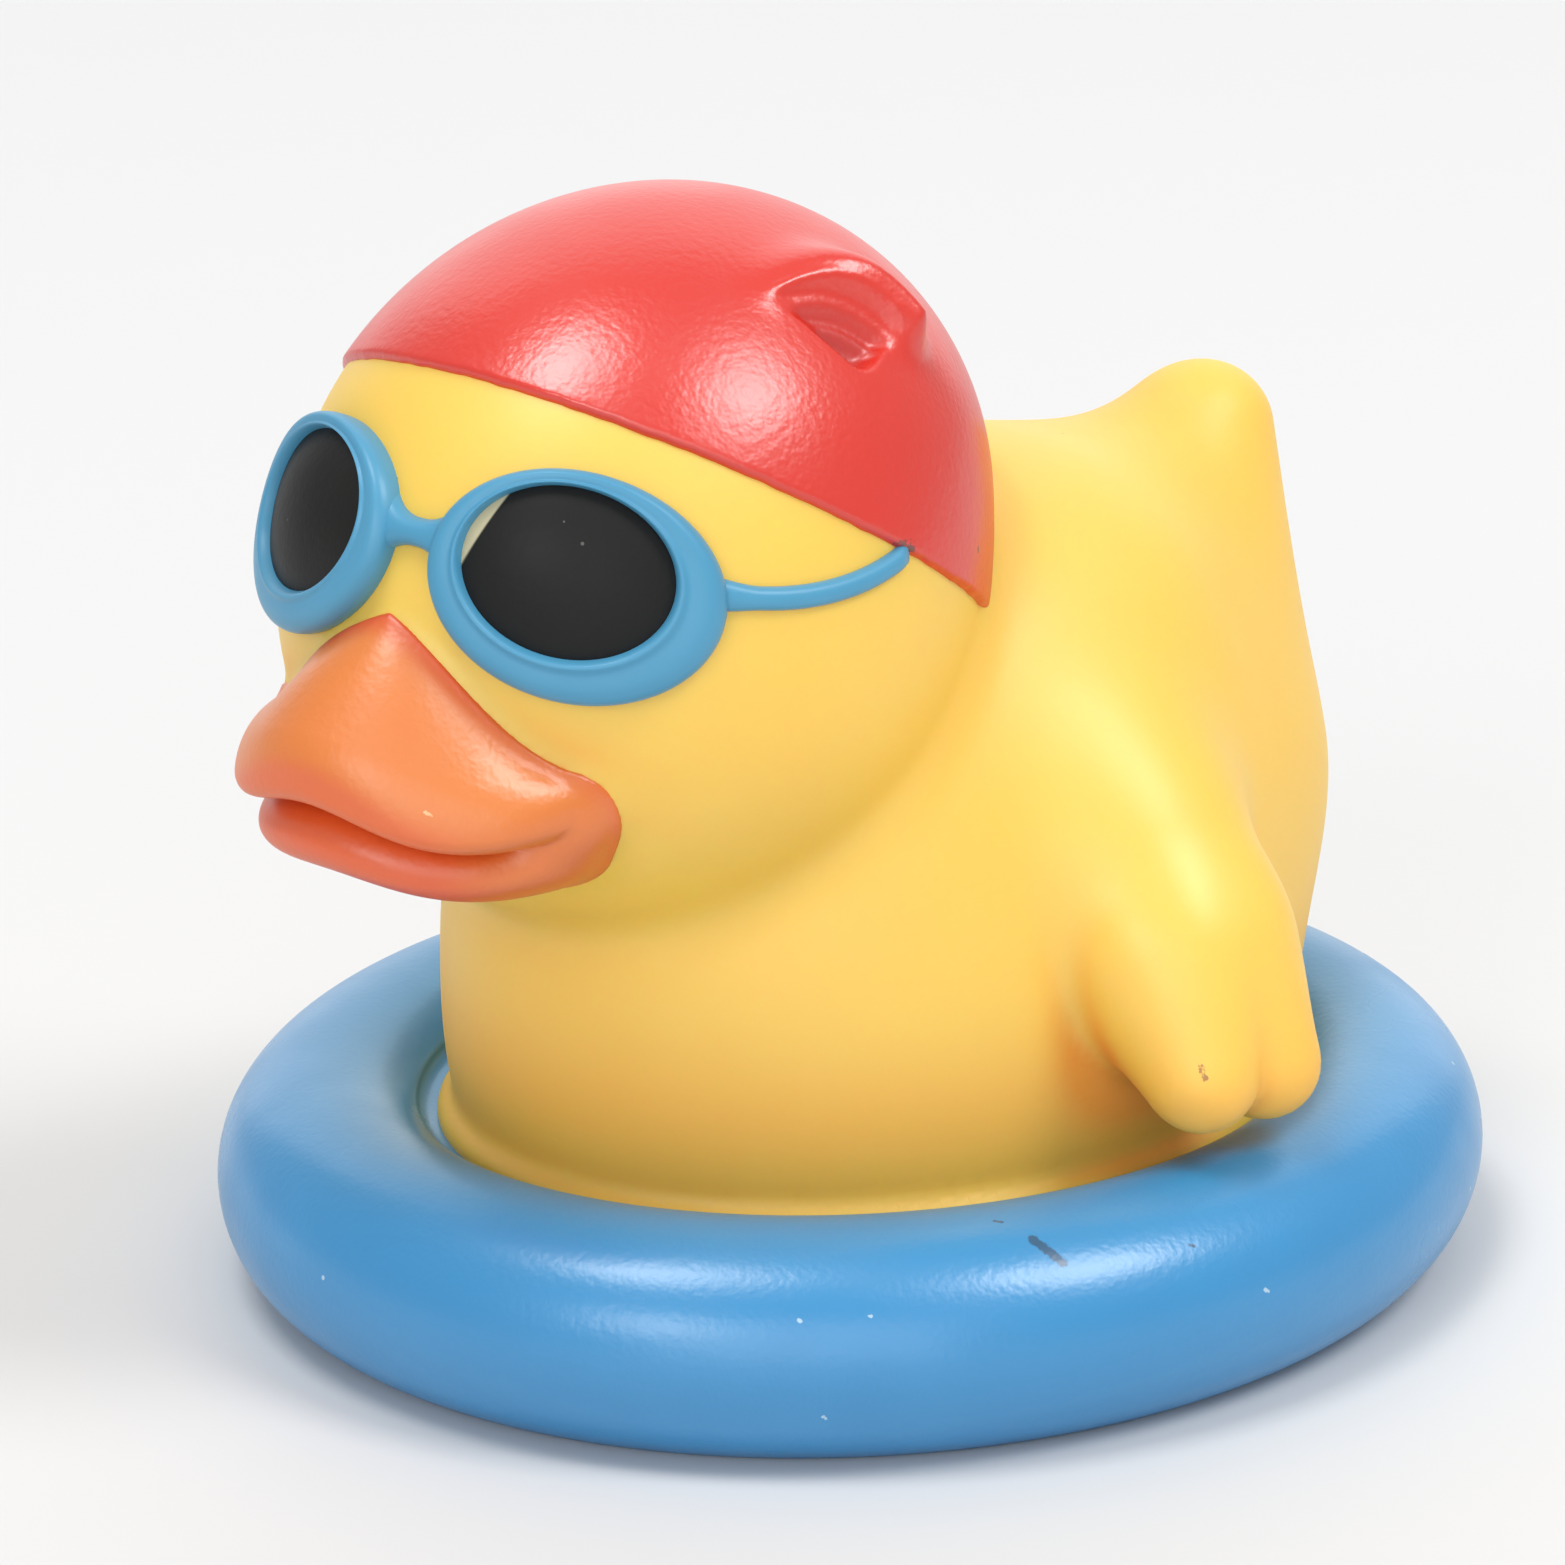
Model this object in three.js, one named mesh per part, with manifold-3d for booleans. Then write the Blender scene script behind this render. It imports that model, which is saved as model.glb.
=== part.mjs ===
// Bath duck sitting in a swim ring, with a swim cap and goggles: one hollow soft-vinyl casting.
// Millimetres, +Z up. The duck faces -Y, its left side is +X, and the origin is on the base
// at the centre of the ring. Each form is a field that is negative inside the form.
import * as THREE from 'three';
import { mergeVertices } from 'three/addons/utils/BufferGeometryUtils.js';
import Module from 'manifold-3d';

// Casting
const WALL = 2.0;
const VENT_DIAMETER = 3.2;
const VENT_BEHIND_CENTRE = 14;

// Swim ring, measured on the centreline of its tube, and the web that closes its hole
const RING_HALF_WIDTH = 38.2;
const RING_HALF_LENGTH = 42.8;
const TUBE_HALF_WIDTH = 8.8;
const TUBE_HALF_HEIGHT = 8.75;
const RING_FLAT_DEPTH = 0.8;
const WEB_THICKNESS = 12.4;

// Body: a superellipsoid that leans back towards its top
const BODY_HALF_WIDTH = 29.5;
const BODY_HALF_LENGTH = 36;
const BODY_CENTRE_Y = 2;
const BODY_WIDEST_Z = 24;
const BODY_TOP_Z = 63;
const BODY_DEPTH_BELOW = 33.5;
const BODY_PLAN_POWER = 2.05;
const BODY_SIDE_POWER = 2.3;
const BODY_LEAN = 10;
const BODY_LEAN_START_Z = 42;
const BODY_LEAN_RISE = 22.5;
const BODY_SKIN_CENTRE = new THREE.Vector3(0, 4, 30);

// Foot: the small flange on which the body meets the web
const FOOT_STEP = 1.5;
const FOOT_HEIGHT = 1.5;
const FOOT_ROUND = 1.2;

// Tail: a cone with round ends, filleted into the back
const TAIL_ROOT = new THREE.Vector3(0, 30, 34.7);
const TAIL_TIP = new THREE.Vector3(0, 37.1, 59.4);
const TAIL_ROOT_RADIUS = 13;
const TAIL_TIP_RADIUS = 4.8;
const TAIL_FILLET = 13.6;

// Wing on the left side, mirrored to the right: an oval arm that hangs outwards and ends in two lobes
const ARM_CENTRE = new THREE.Vector3(26.5, 6.2, 35);
const ARM_RADII = new THREE.Vector3(8.4, 8.6, 15.5);
const ARM_TILT = 36;
const FRONT_LOBE_ROOT = new THREE.Vector3(31.5, 3.6, 30);
const FRONT_LOBE_TIP = new THREE.Vector3(37.2, 1.6, 23.2);
const REAR_LOBE_ROOT = new THREE.Vector3(31.5, 7, 30);
const REAR_LOBE_TIP = new THREE.Vector3(37.1, 8.2, 22.7);
const LOBE_ROOT_RADIUS = 6.2;
const LOBE_TIP_RADIUS = 4.2;
const LOBE_FILLET = 5;
const WING_SKIN_CENTRE = new THREE.Vector3(32.5, 5, 28.5);
// The fillet between wing and body ends this far under the body's skin, within this reach of the wing
const SHOULDER_FILLET = 4;
const SHOULDER_SINK = 0.3;
const SHOULDER_REACH = 2.2;

// Head, turned a little to the duck's left and leaning to it. Its own frame has its origin inside the skull.
// The cranium is an ellipsoid whose long axis rises towards the back, above the round cheeks.
const HEAD_ORIGIN = new THREE.Vector3(0, -20.9, 60);
const HEAD_TURN = 11;
const HEAD_ROLL = 2.5;
const CRANIUM_CENTRE = new THREE.Vector3(0, -0.85, 0.85);
const CRANIUM_RADII = new THREE.Vector3(24.6, 28.2, 24.5);
const CRANIUM_TILT = 24;
const CHEEK_CENTRE = new THREE.Vector3(0, -1.45, -5.85);
const CHEEK_RADII = new THREE.Vector3(25.5, 24.1, 22.4);
const CHEEK_FILLET = 4;

// Swim cap: a skin over the skull, cut by a plane that rises towards the forehead
const CAP_THICKNESS = 0.6;
const CAP_EDGE_HEIGHT = 4.6;
const CAP_EDGE_SLOPE = 31;

// Fold on the left of the cap: a raised lip round a scooped hollow
const FOLD_DIRECTION = new THREE.Vector3(16, 1, 20.8);
const FOLD_LENGTH = 15;
const FOLD_WIDTH = 10;
const FOLD_HEIGHT = 3.4;
const FOLD_LIP = 1.5;
const FOLD_SCOOP_DEPTH = 1.6;
const FOLD_SCOOP_DROP = 1.6;
const FOLD_SCOOP_FORWARD = 1;
const FOLD_TILT = -26;

// Goggles, laid on the skull a little to the left of the bill's middle.
// Each eyecup's oval lens lies off the centre of its oval frame.
const GOGGLE_TURN = 3.8;
const EYE_AZIMUTH = 26.5;
const EYE_ELEVATION = 10.6;
const EYE_ROLL = -12;
const FRAME_HALF_WIDTH = 11.3;
const FRAME_HALF_HEIGHT = 8.2;
const LENS_HALF_WIDTH = 7.6;
const LENS_HALF_HEIGHT = 5.8;
const LENS_INWARD = 0.9;
const LENS_UPWARD = 0.9;
const LENS_LIFT = 0.9;
const FRAME_LIFT = 2.2;
const LAID_ROOT = 1.5;
// Section of the frame from the lens outwards: share of its width, and share of its lift
const FRAME_SECTION = [[0.08, 0.85], [0.25, 1], [0.5, 0.9], [0.8, 0.55], [1, 0.05]];
const FRAME_ROOT_SHARE = 0.9;
const STRAP_HEIGHT = 1.7;
const STRAP_LIFT = 0.9;
const STRAP_START_AZIMUTH = 48;
const STRAP_END_AZIMUTH = 87;
const STRAP_LOW_AZIMUTH = 63;
const STRAP_LOW_ELEVATION = 8.1;
const STRAP_RISE = 0.0068;
const BRIDGE_HEIGHT = 2.3;
const BRIDGE_LIFT = 1.5;
const BRIDGE_HALF_SPAN = 6.5;
const BRIDGE_ELEVATION = 15;

// Bill, in the head's frame: two lips with the mouth between them, and smiling corners
const UPPER_LIP_CENTRE = new THREE.Vector3(0, -21.5, -11.2);
const UPPER_LIP_RADII = new THREE.Vector3(15, 15.4, 4.7);
const RIDGE_TOP = new THREE.Vector3(0, -21, -3.2);
const RIDGE_TOP_RADIUS = 2.6;
const RIDGE_TIP = new THREE.Vector3(0, -26.5, -8.8);
const RIDGE_TIP_RADIUS = 1.8;
const RIDGE_FILLET = 4;
const LOWER_LIP_CENTRE = new THREE.Vector3(0, -21, -16.3);
const LOWER_LIP_RADII = new THREE.Vector3(13, 13.6, 3.5);
const MOUTH_CORNER = new THREE.Vector3(12.6, -19.8, -13);
const MOUTH_CORNER_RADII = new THREE.Vector3(4.4, 4.8, 4.9);
// The fillet between bill and face ends this far under the skull's skin, within this reach of the upper lip
const ROOT_FILLET = 5.5;
const ROOT_SINK = 0.2;
const ROOT_REACH = new THREE.Vector3(16.4, 18, 13);

// Fineness of the facets: columns round each form and rows over it
const TRUNK_FACETS = [42, 26];
const HEAD_FACETS = [42, 26];
const UPPER_LIP_FACETS = [38, 24];
const LOWER_LIP_FACETS = [24, 10];
const MOUTH_CORNER_FACETS = [14, 10];
const TAIL_FACETS = [18, 12];
const WING_FACETS = [28, 18];
const FOLD_FACETS = [16, 10];
const RING_FACETS = [52, 14];
const EYECUP_COLUMNS = 24;
const BAND_STEPS = 10;
const INSIDE_FACETS = [18, 12];
const INSIDE_SMALL_FACETS = [10, 8];
const INSIDE_RING_FACETS = [28, 8];
const FAR = 120;
const EVEN = new THREE.Vector3(1, 1, 1);
const LIP_SPREAD = new THREE.Vector3(15, 15, 9);
const ZERO = new THREE.Vector3();
const X_AXIS = new THREE.Vector3(1, 0, 0);
const Y_AXIS = new THREE.Vector3(0, 1, 0);

const wasm = await Module();
wasm.setup();

// Fields

function ellipsoid(point, centre, radii) {
  const offset = point.clone().sub(centre);
  const scaled = offset.clone().divide(radii);
  const reach = scaled.length();
  const slope = scaled.divide(radii).length();
  return reach * (reach - 1) / Math.max(slope, 1e-9);
}

// A cone between two balls that touches both, so that its outline has no corner
function roundCone(point, start, end, startRadius, endRadius) {
  const line = end.clone().sub(start);
  const length = line.length();
  const offset = point.clone().sub(start);
  const along = offset.dot(line) / length;
  const across = Math.sqrt(Math.max(offset.lengthSq() - along * along, 0));
  const taper = startRadius - endRadius;
  const shift = across * taper / Math.sqrt(length * length - taper * taper);
  const share = THREE.MathUtils.clamp((along - shift) / length, 0, 1);
  const radius = THREE.MathUtils.lerp(startRadius, endRadius, share);
  return Math.hypot(across, along - share * length) - radius;
}

// Joins two fields with a fillet that is about as wide as the given width
function blend(first, second, width) {
  const near = Math.max(width - Math.abs(first - second), 0) / width;
  return Math.min(first, second) - near * near * width / 4;
}

function body(point) {
  const rise = Math.max(point.z - BODY_LEAN_START_Z, 0) / BODY_LEAN_RISE;
  const centreY = BODY_CENTRE_Y + BODY_LEAN * rise * rise;
  const side = Math.abs(point.x) / BODY_HALF_WIDTH;
  const length = Math.abs(point.y - centreY) / BODY_HALF_LENGTH;
  const plan = (side ** BODY_PLAN_POWER + length ** BODY_PLAN_POWER) ** (1 / BODY_PLAN_POWER);
  const height = point.z > BODY_WIDEST_Z ? BODY_TOP_Z - BODY_WIDEST_Z : BODY_DEPTH_BELOW;
  const level = Math.abs(point.z - BODY_WIDEST_Z) / height;
  const reach = (plan ** BODY_SIDE_POWER + level ** BODY_SIDE_POWER) ** (1 / BODY_SIDE_POWER);
  const distance = Math.hypot(point.x, point.y - centreY, point.z - BODY_WIDEST_Z);
  return (1 - 1 / Math.max(reach, 1e-3)) * distance;
}

function tail(point) {
  return roundCone(point, TAIL_ROOT, TAIL_TIP, TAIL_ROOT_RADIUS, TAIL_TIP_RADIUS);
}

function trunk(point) {
  return blend(body(point), tail(point), TAIL_FILLET);
}

function arm(point) {
  const upright = point.clone().sub(ARM_CENTRE);
  upright.applyAxisAngle(Y_AXIS, THREE.MathUtils.degToRad(ARM_TILT));
  return ellipsoid(upright, ZERO, ARM_RADII);
}

function lobe(point, root, tip) {
  return roundCone(point, root, tip, LOBE_ROOT_RADIUS, LOBE_TIP_RADIUS);
}

// The wing, filleted into the body
function wing(point) {
  const front = lobe(point, FRONT_LOBE_ROOT, FRONT_LOBE_TIP);
  const rear = lobe(point, REAR_LOBE_ROOT, REAR_LOBE_TIP);
  const free = blend(arm(point), Math.min(front, rear), LOBE_FILLET);
  const rooted = blend(free, trunk(point) + SHOULDER_SINK, SHOULDER_FILLET);
  return Math.max(rooted, free - SHOULDER_REACH);
}

function skull(point) {
  const level = point.clone().sub(CRANIUM_CENTRE);
  level.applyAxisAngle(X_AXIS, -THREE.MathUtils.degToRad(CRANIUM_TILT));
  const cranium = ellipsoid(level, ZERO, CRANIUM_RADII);
  return blend(cranium, ellipsoid(point, CHEEK_CENTRE, CHEEK_RADII), CHEEK_FILLET);
}

// The upper lip with its ridge, filleted into the face
function upperLip(point) {
  const plate = ellipsoid(point, UPPER_LIP_CENTRE, UPPER_LIP_RADII);
  const ridge = roundCone(point, RIDGE_TOP, RIDGE_TIP, RIDGE_TOP_RADIUS, RIDGE_TIP_RADIUS);
  const rooted = blend(blend(plate, ridge, RIDGE_FILLET), skull(point) + ROOT_SINK, ROOT_FILLET);
  return Math.max(rooted, ellipsoid(point, UPPER_LIP_CENTRE, ROOT_REACH));
}

// Distance from the centre, along a direction, at which the field ends
function reachOf(field, centre, direction) {
  let inside = 0;
  let outside = FAR;
  while (outside - inside > 1e-5) {
    const middle = (inside + outside) / 2;
    const point = centre.clone().addScaledVector(direction, middle);
    if (field(point) < 0) {
      inside = middle;
    } else {
      outside = middle;
    }
  }
  return outside;
}

// Solids

function solidOf(geometry) {
  geometry.deleteAttribute('normal');
  geometry.deleteAttribute('uv');
  const merged = mergeVertices(geometry);
  const vertProperties = new Float32Array(merged.attributes.position.array);
  const triVerts = new Uint32Array(merged.index.array);
  return new wasm.Manifold(new wasm.Mesh({ numProp: 3, vertProperties, triVerts }));
}

function geometryOf(solid) {
  const mesh = solid.getMesh();
  const geometry = new THREE.BufferGeometry();
  geometry.setAttribute('position', new THREE.BufferAttribute(mesh.vertProperties, 3));
  return geometry.setIndex(new THREE.BufferAttribute(mesh.triVerts, 1));
}

function reshape(geometry, place) {
  const position = geometry.attributes.position;
  const vertex = new THREE.Vector3();
  for (let index = 0; index < position.count; index += 1) {
    place(vertex.fromBufferAttribute(position, index));
    position.setXYZ(index, vertex.x, vertex.y, vertex.z);
  }
  return geometry;
}

// A ball's facets pushed out to the surface of a field that all of the centre's rays leave once.
// The ball starts with the form's rough proportions, which spreads the facets evenly over it.
// Its poles are above and below, or in front and behind.
function skin(field, centre, [columns, rows], { offset = 0, proportions = EVEN, upright = true } = {}) {
  const ball = new THREE.SphereGeometry(1, columns, rows);
  if (upright) {
    ball.rotateX(Math.PI / 2);
  }
  const grown = (point) => field(point) - offset;
  return reshape(ball, (vertex) => {
    const ray = vertex.clone().multiply(proportions).normalize();
    vertex.copy(centre).addScaledVector(ray, reachOf(grown, centre, ray));
  });
}

function mirrored(geometry) {
  const twin = geometry.clone().scale(-1, 1, 1);
  const index = twin.index.array;
  for (let corner = 0; corner < index.length; corner += 3) {
    [index[corner], index[corner + 1]] = [index[corner + 1], index[corner]];
  }
  return twin;
}

function onHead(geometry) {
  geometry.rotateY(THREE.MathUtils.degToRad(HEAD_ROLL)).rotateZ(THREE.MathUtils.degToRad(HEAD_TURN));
  return geometry.translate(HEAD_ORIGIN.x, HEAD_ORIGIN.y, HEAD_ORIGIN.z);
}

function joined(solids) {
  return solids.reduce((whole, solid) => whole.add(solid));
}

// Swim ring

const TUBE_CENTRE_Z = TUBE_HALF_HEIGHT - RING_FLAT_DEPTH;

// Moves a revolved section to the oval: the distance from the round centreline is kept, square to the oval
function ovalRing(geometry) {
  return reshape(geometry, (vertex) => {
    const angle = Math.atan2(vertex.y, vertex.x);
    const offset = Math.hypot(vertex.x, vertex.y) - RING_HALF_WIDTH;
    const across = Math.cos(angle) / RING_HALF_WIDTH;
    const outward = new THREE.Vector2(across, Math.sin(angle) / RING_HALF_LENGTH).normalize();
    vertex.x = RING_HALF_WIDTH * Math.cos(angle) + offset * outward.x;
    vertex.y = RING_HALF_LENGTH * Math.sin(angle) + offset * outward.y;
  });
}

// A tube section, flat where it rests, turned round the ring and thinned by an inset
function tube([columns, points], inset) {
  const halfWidth = TUBE_HALF_WIDTH - inset;
  const halfHeight = TUBE_HALF_HEIGHT - inset;
  const flatAngle = Math.asin(Math.min((TUBE_CENTRE_Z - inset) / halfHeight, 1));
  const section = [];
  for (let index = 0; index < points; index += 1) {
    const angle = -flatAngle + (Math.PI + 2 * flatAngle) * index / (points - 1);
    const radius = RING_HALF_WIDTH + halfWidth * Math.cos(angle);
    section.push(new THREE.Vector2(radius, TUBE_CENTRE_Z + halfHeight * Math.sin(angle)));
  }
  section.push(section[0].clone());
  const turned = new THREE.LatheGeometry(section, columns).rotateX(Math.PI / 2);
  return ovalRing(turned);
}

// A flat oval disc between two levels that ends inside the tube
function ovalDisc(bottom, top, columns) {
  const disc = new THREE.CylinderGeometry(RING_HALF_WIDTH, RING_HALF_WIDTH, top - bottom, columns);
  disc.rotateX(Math.PI / 2).translate(0, 0, (bottom + top) / 2);
  return disc.scale(1, RING_HALF_LENGTH / RING_HALF_WIDTH, 1);
}

function ring() {
  return joined([
    solidOf(tube(RING_FACETS, 0)),
    solidOf(ovalDisc(0, WEB_THICKNESS, RING_FACETS[0])),
  ]);
}

// Body, tail and wings

// The trunk ends inside the web, half-way down
function trunkField(inset) {
  return (point) => Math.max(trunk(point) + inset, WEB_THICKNESS / 2 - point.z);
}

// A flange with a rounded rim that follows the body's outline at the web
function foot() {
  const level = (BODY_WIDEST_Z - WEB_THICKNESS) / BODY_DEPTH_BELOW;
  const share = (1 - level ** BODY_SIDE_POWER) ** (1 / BODY_SIDE_POWER);
  const halfWidth = BODY_HALF_WIDTH * share + FOOT_STEP;
  const halfLength = BODY_HALF_LENGTH * share + FOOT_STEP;
  const top = WEB_THICKNESS + FOOT_HEIGHT;
  const chamfer = FOOT_ROUND * (1 - Math.SQRT1_2);
  const section = [
    new THREE.Vector2(0, WEB_THICKNESS / 2),
    new THREE.Vector2(halfWidth, WEB_THICKNESS / 2),
    new THREE.Vector2(halfWidth, top - FOOT_ROUND),
    new THREE.Vector2(halfWidth - chamfer, top - chamfer),
    new THREE.Vector2(halfWidth - FOOT_ROUND, top),
    new THREE.Vector2(0, top),
  ];
  const flange = new THREE.LatheGeometry(section, TRUNK_FACETS[0]).rotateX(Math.PI / 2);
  return solidOf(reshape(flange, (vertex) => {
    const angle = Math.atan2(vertex.y, vertex.x);
    const side = Math.abs(Math.cos(angle)) ** BODY_PLAN_POWER;
    const front = Math.abs(Math.sin(angle)) ** BODY_PLAN_POWER;
    const reach = (side + front) ** (-1 / BODY_PLAN_POWER);
    vertex.x *= reach;
    vertex.y = BODY_CENTRE_Y + vertex.y * reach * halfLength / halfWidth;
  }));
}

function bodyWithWings() {
  const leftWing = skin(wing, WING_SKIN_CENTRE, WING_FACETS, { upright: false });
  return joined([
    solidOf(skin(trunkField(0), BODY_SKIN_CENTRE, TRUNK_FACETS)),
    solidOf(skin(tail, TAIL_TIP, TAIL_FACETS)),
    solidOf(mirrored(leftWing)),
    solidOf(leftWing),
  ]);
}

// Head and what is moulded on it

function direction(azimuth, elevation) {
  const turn = THREE.MathUtils.degToRad(azimuth);
  const lift = THREE.MathUtils.degToRad(elevation);
  const level = Math.cos(lift);
  return new THREE.Vector3(Math.sin(turn) * level, -Math.cos(turn) * level, Math.sin(lift));
}

// Point on the skull in a direction, raised by a height
function onSkull(towards, height) {
  const unit = towards.clone().normalize();
  return unit.multiplyScalar(reachOf(skull, ZERO, unit) + height);
}

function cap() {
  const cover = solidOf(skin(skull, ZERO, HEAD_FACETS, { offset: CAP_THICKNESS }));
  const above = new THREE.BoxGeometry(FAR, FAR, FAR).translate(0, 0, FAR / 2);
  above.rotateX(-THREE.MathUtils.degToRad(CAP_EDGE_SLOPE)).translate(0, 0, CAP_EDGE_HEIGHT);
  return cover.intersect(solidOf(above));
}

// A flattened ball on the cap, with its length turned across the fold's direction
function foldBall(length, width, height, shift) {
  const outward = FOLD_DIRECTION.clone().normalize();
  const level = new THREE.Vector3(-outward.y, outward.x, 0).normalize();
  const upward = outward.clone().cross(level);
  const ball = new THREE.SphereGeometry(1, ...FOLD_FACETS).scale(length / 2, width / 2, height);
  ball.translate(shift.x, shift.y, shift.z).rotateZ(THREE.MathUtils.degToRad(FOLD_TILT));
  ball.applyMatrix4(new THREE.Matrix4().makeBasis(level, upward, outward));
  const seat = onSkull(FOLD_DIRECTION, CAP_THICKNESS);
  return ball.translate(seat.x, seat.y, seat.z);
}

// A ball stretched to an ellipsoid
function ellipsoidBall(centre, radii, facets) {
  const ball = new THREE.SphereGeometry(1, ...facets).rotateX(Math.PI / 2).scale(radii.x, radii.y, radii.z);
  return ball.translate(centre.x, centre.y, centre.z);
}

function bill() {
  const corner = ellipsoidBall(MOUTH_CORNER, MOUTH_CORNER_RADII, MOUTH_CORNER_FACETS);
  return [
    skin(upperLip, UPPER_LIP_CENTRE, UPPER_LIP_FACETS, { proportions: LIP_SPREAD }),
    ellipsoidBall(LOWER_LIP_CENTRE, LOWER_LIP_RADII, LOWER_LIP_FACETS),
    mirrored(corner),
    corner,
  ];
}

// A revolved boss whose radius runs from 0 to 1 over the lens and from 1 to 2 over the frame
function eyecup(side) {
  const frame = FRAME_SECTION.map(([share, lift]) => new THREE.Vector2(1 + share, FRAME_LIFT * lift));
  const profile = [
    new THREE.Vector2(0, -LAID_ROOT),
    new THREE.Vector2(1 + FRAME_ROOT_SHARE, -LAID_ROOT),
    ...frame.reverse(),
    new THREE.Vector2(1, LENS_LIFT),
    new THREE.Vector2(0, LENS_LIFT),
  ];
  const azimuth = GOGGLE_TURN + side * EYE_AZIMUTH;
  const outward = direction(azimuth, EYE_ELEVATION);
  const level = direction(azimuth + 90, 0);
  const upward = outward.clone().cross(level);
  const roll = side * THREE.MathUtils.degToRad(EYE_ROLL);
  const across = level.clone().multiplyScalar(Math.cos(roll)).addScaledVector(upward, Math.sin(roll));
  const above = upward.clone().multiplyScalar(Math.cos(roll)).addScaledVector(level, -Math.sin(roll));
  const centre = onSkull(outward, 0);
  const boss = new THREE.LatheGeometry(profile, EYECUP_COLUMNS).rotateX(Math.PI / 2);
  return reshape(boss, (vertex) => {
    const radius = Math.hypot(vertex.x, vertex.y);
    const angle = Math.atan2(vertex.y, vertex.x);
    const share = THREE.MathUtils.clamp(radius - 1, 0, 1);
    const inner = Math.min(radius, 1);
    const halfWidth = THREE.MathUtils.lerp(inner * LENS_HALF_WIDTH, FRAME_HALF_WIDTH, share);
    const halfHeight = THREE.MathUtils.lerp(inner * LENS_HALF_HEIGHT, FRAME_HALF_HEIGHT, share);
    const inward = -side * LENS_INWARD * (1 - share);
    const lift = LENS_UPWARD * (1 - share);
    const towards = centre.clone();
    towards.addScaledVector(across, halfWidth * Math.cos(angle) + inward);
    towards.addScaledVector(above, halfHeight * Math.sin(angle) + lift);
    vertex.copy(onSkull(towards, vertex.z));
  });
}

// A flat band laid on the skull between two azimuths of the goggles, its elevation given by a function
function band(startAzimuth, endAzimuth, elevationAt, height, lift) {
  const strip = new THREE.BoxGeometry(1, 1, 1, BAND_STEPS, 1, 1);
  return reshape(strip, (vertex) => {
    const azimuth = THREE.MathUtils.lerp(startAzimuth, endAzimuth, vertex.x + 0.5);
    const along = direction(azimuth + GOGGLE_TURN, elevationAt(azimuth));
    const towards = onSkull(along, 0);
    towards.z += vertex.y * height;
    vertex.copy(onSkull(towards, vertex.z > 0 ? lift : -LAID_ROOT));
  });
}

function strapElevation(azimuth) {
  return STRAP_LOW_ELEVATION + STRAP_RISE * (Math.abs(azimuth) - STRAP_LOW_AZIMUTH) ** 2;
}

function bridgeElevation() {
  return BRIDGE_ELEVATION;
}

function goggles() {
  return [
    eyecup(1),
    eyecup(-1),
    band(STRAP_START_AZIMUTH, STRAP_END_AZIMUTH, strapElevation, STRAP_HEIGHT, STRAP_LIFT),
    band(-STRAP_END_AZIMUTH, -STRAP_START_AZIMUTH, strapElevation, STRAP_HEIGHT, STRAP_LIFT),
    band(-BRIDGE_HALF_SPAN, BRIDGE_HALF_SPAN, bridgeElevation, BRIDGE_HEIGHT, BRIDGE_LIFT),
  ];
}

function head() {
  const pieces = [
    solidOf(onHead(skin(skull, ZERO, HEAD_FACETS))),
    solidOf(onHead(geometryOf(cap()))),
    solidOf(onHead(foldBall(FOLD_LENGTH, FOLD_WIDTH, FOLD_HEIGHT, new THREE.Vector3()))),
    ...bill().map((geometry) => solidOf(onHead(geometry))),
    ...goggles().map((geometry) => solidOf(onHead(geometry))),
  ];
  const scoopLift = FOLD_HEIGHT - FOLD_SCOOP_DEPTH;
  const scoopShift = new THREE.Vector3(-FOLD_SCOOP_FORWARD, -FOLD_SCOOP_DROP, scoopLift);
  const scoopLength = FOLD_LENGTH - 2 * FOLD_LIP;
  const scoopWidth = FOLD_WIDTH - 2 * FOLD_LIP;
  const scoop = foldBall(scoopLength, scoopWidth, FOLD_HEIGHT, scoopShift);
  return joined(pieces).subtract(solidOf(onHead(scoop)));
}

// The hollow: every form again, a wall smaller, joined through the web, and the vent through the base

function hollow() {
  const leftArm = skin(arm, WING_SKIN_CENTRE, INSIDE_SMALL_FACETS, { offset: -WALL });
  const vent = new THREE.CylinderGeometry(VENT_DIAMETER / 2, VENT_DIAMETER / 2, WEB_THICKNESS, 16);
  vent.rotateX(Math.PI / 2).translate(0, VENT_BEHIND_CENTRE, 0);
  return joined([
    solidOf(skin(trunkField(WALL), BODY_SKIN_CENTRE, INSIDE_FACETS)),
    solidOf(mirrored(leftArm)),
    solidOf(leftArm),
    solidOf(onHead(skin(skull, ZERO, INSIDE_FACETS, { offset: -WALL }))),
    solidOf(tube(INSIDE_RING_FACETS, WALL)),
    solidOf(ovalDisc(WALL, WEB_THICKNESS - WALL, INSIDE_RING_FACETS[0])),
    solidOf(vent),
  ]);
}

function casting() {
  const shell = joined([ring(), foot(), bodyWithWings(), head()]).subtract(hollow());
  const geometry = geometryOf(shell);
  geometry.computeVertexNormals();
  return geometry;
}

const vinyl = new THREE.MeshStandardMaterial({ color: 0xf6d766, roughness: 0.45, metalness: 0 });
const duck = new THREE.Mesh(casting(), vinyl);
duck.name = 'duck';

const group = new THREE.Group();
group.add(duck);
export default group;
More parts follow.
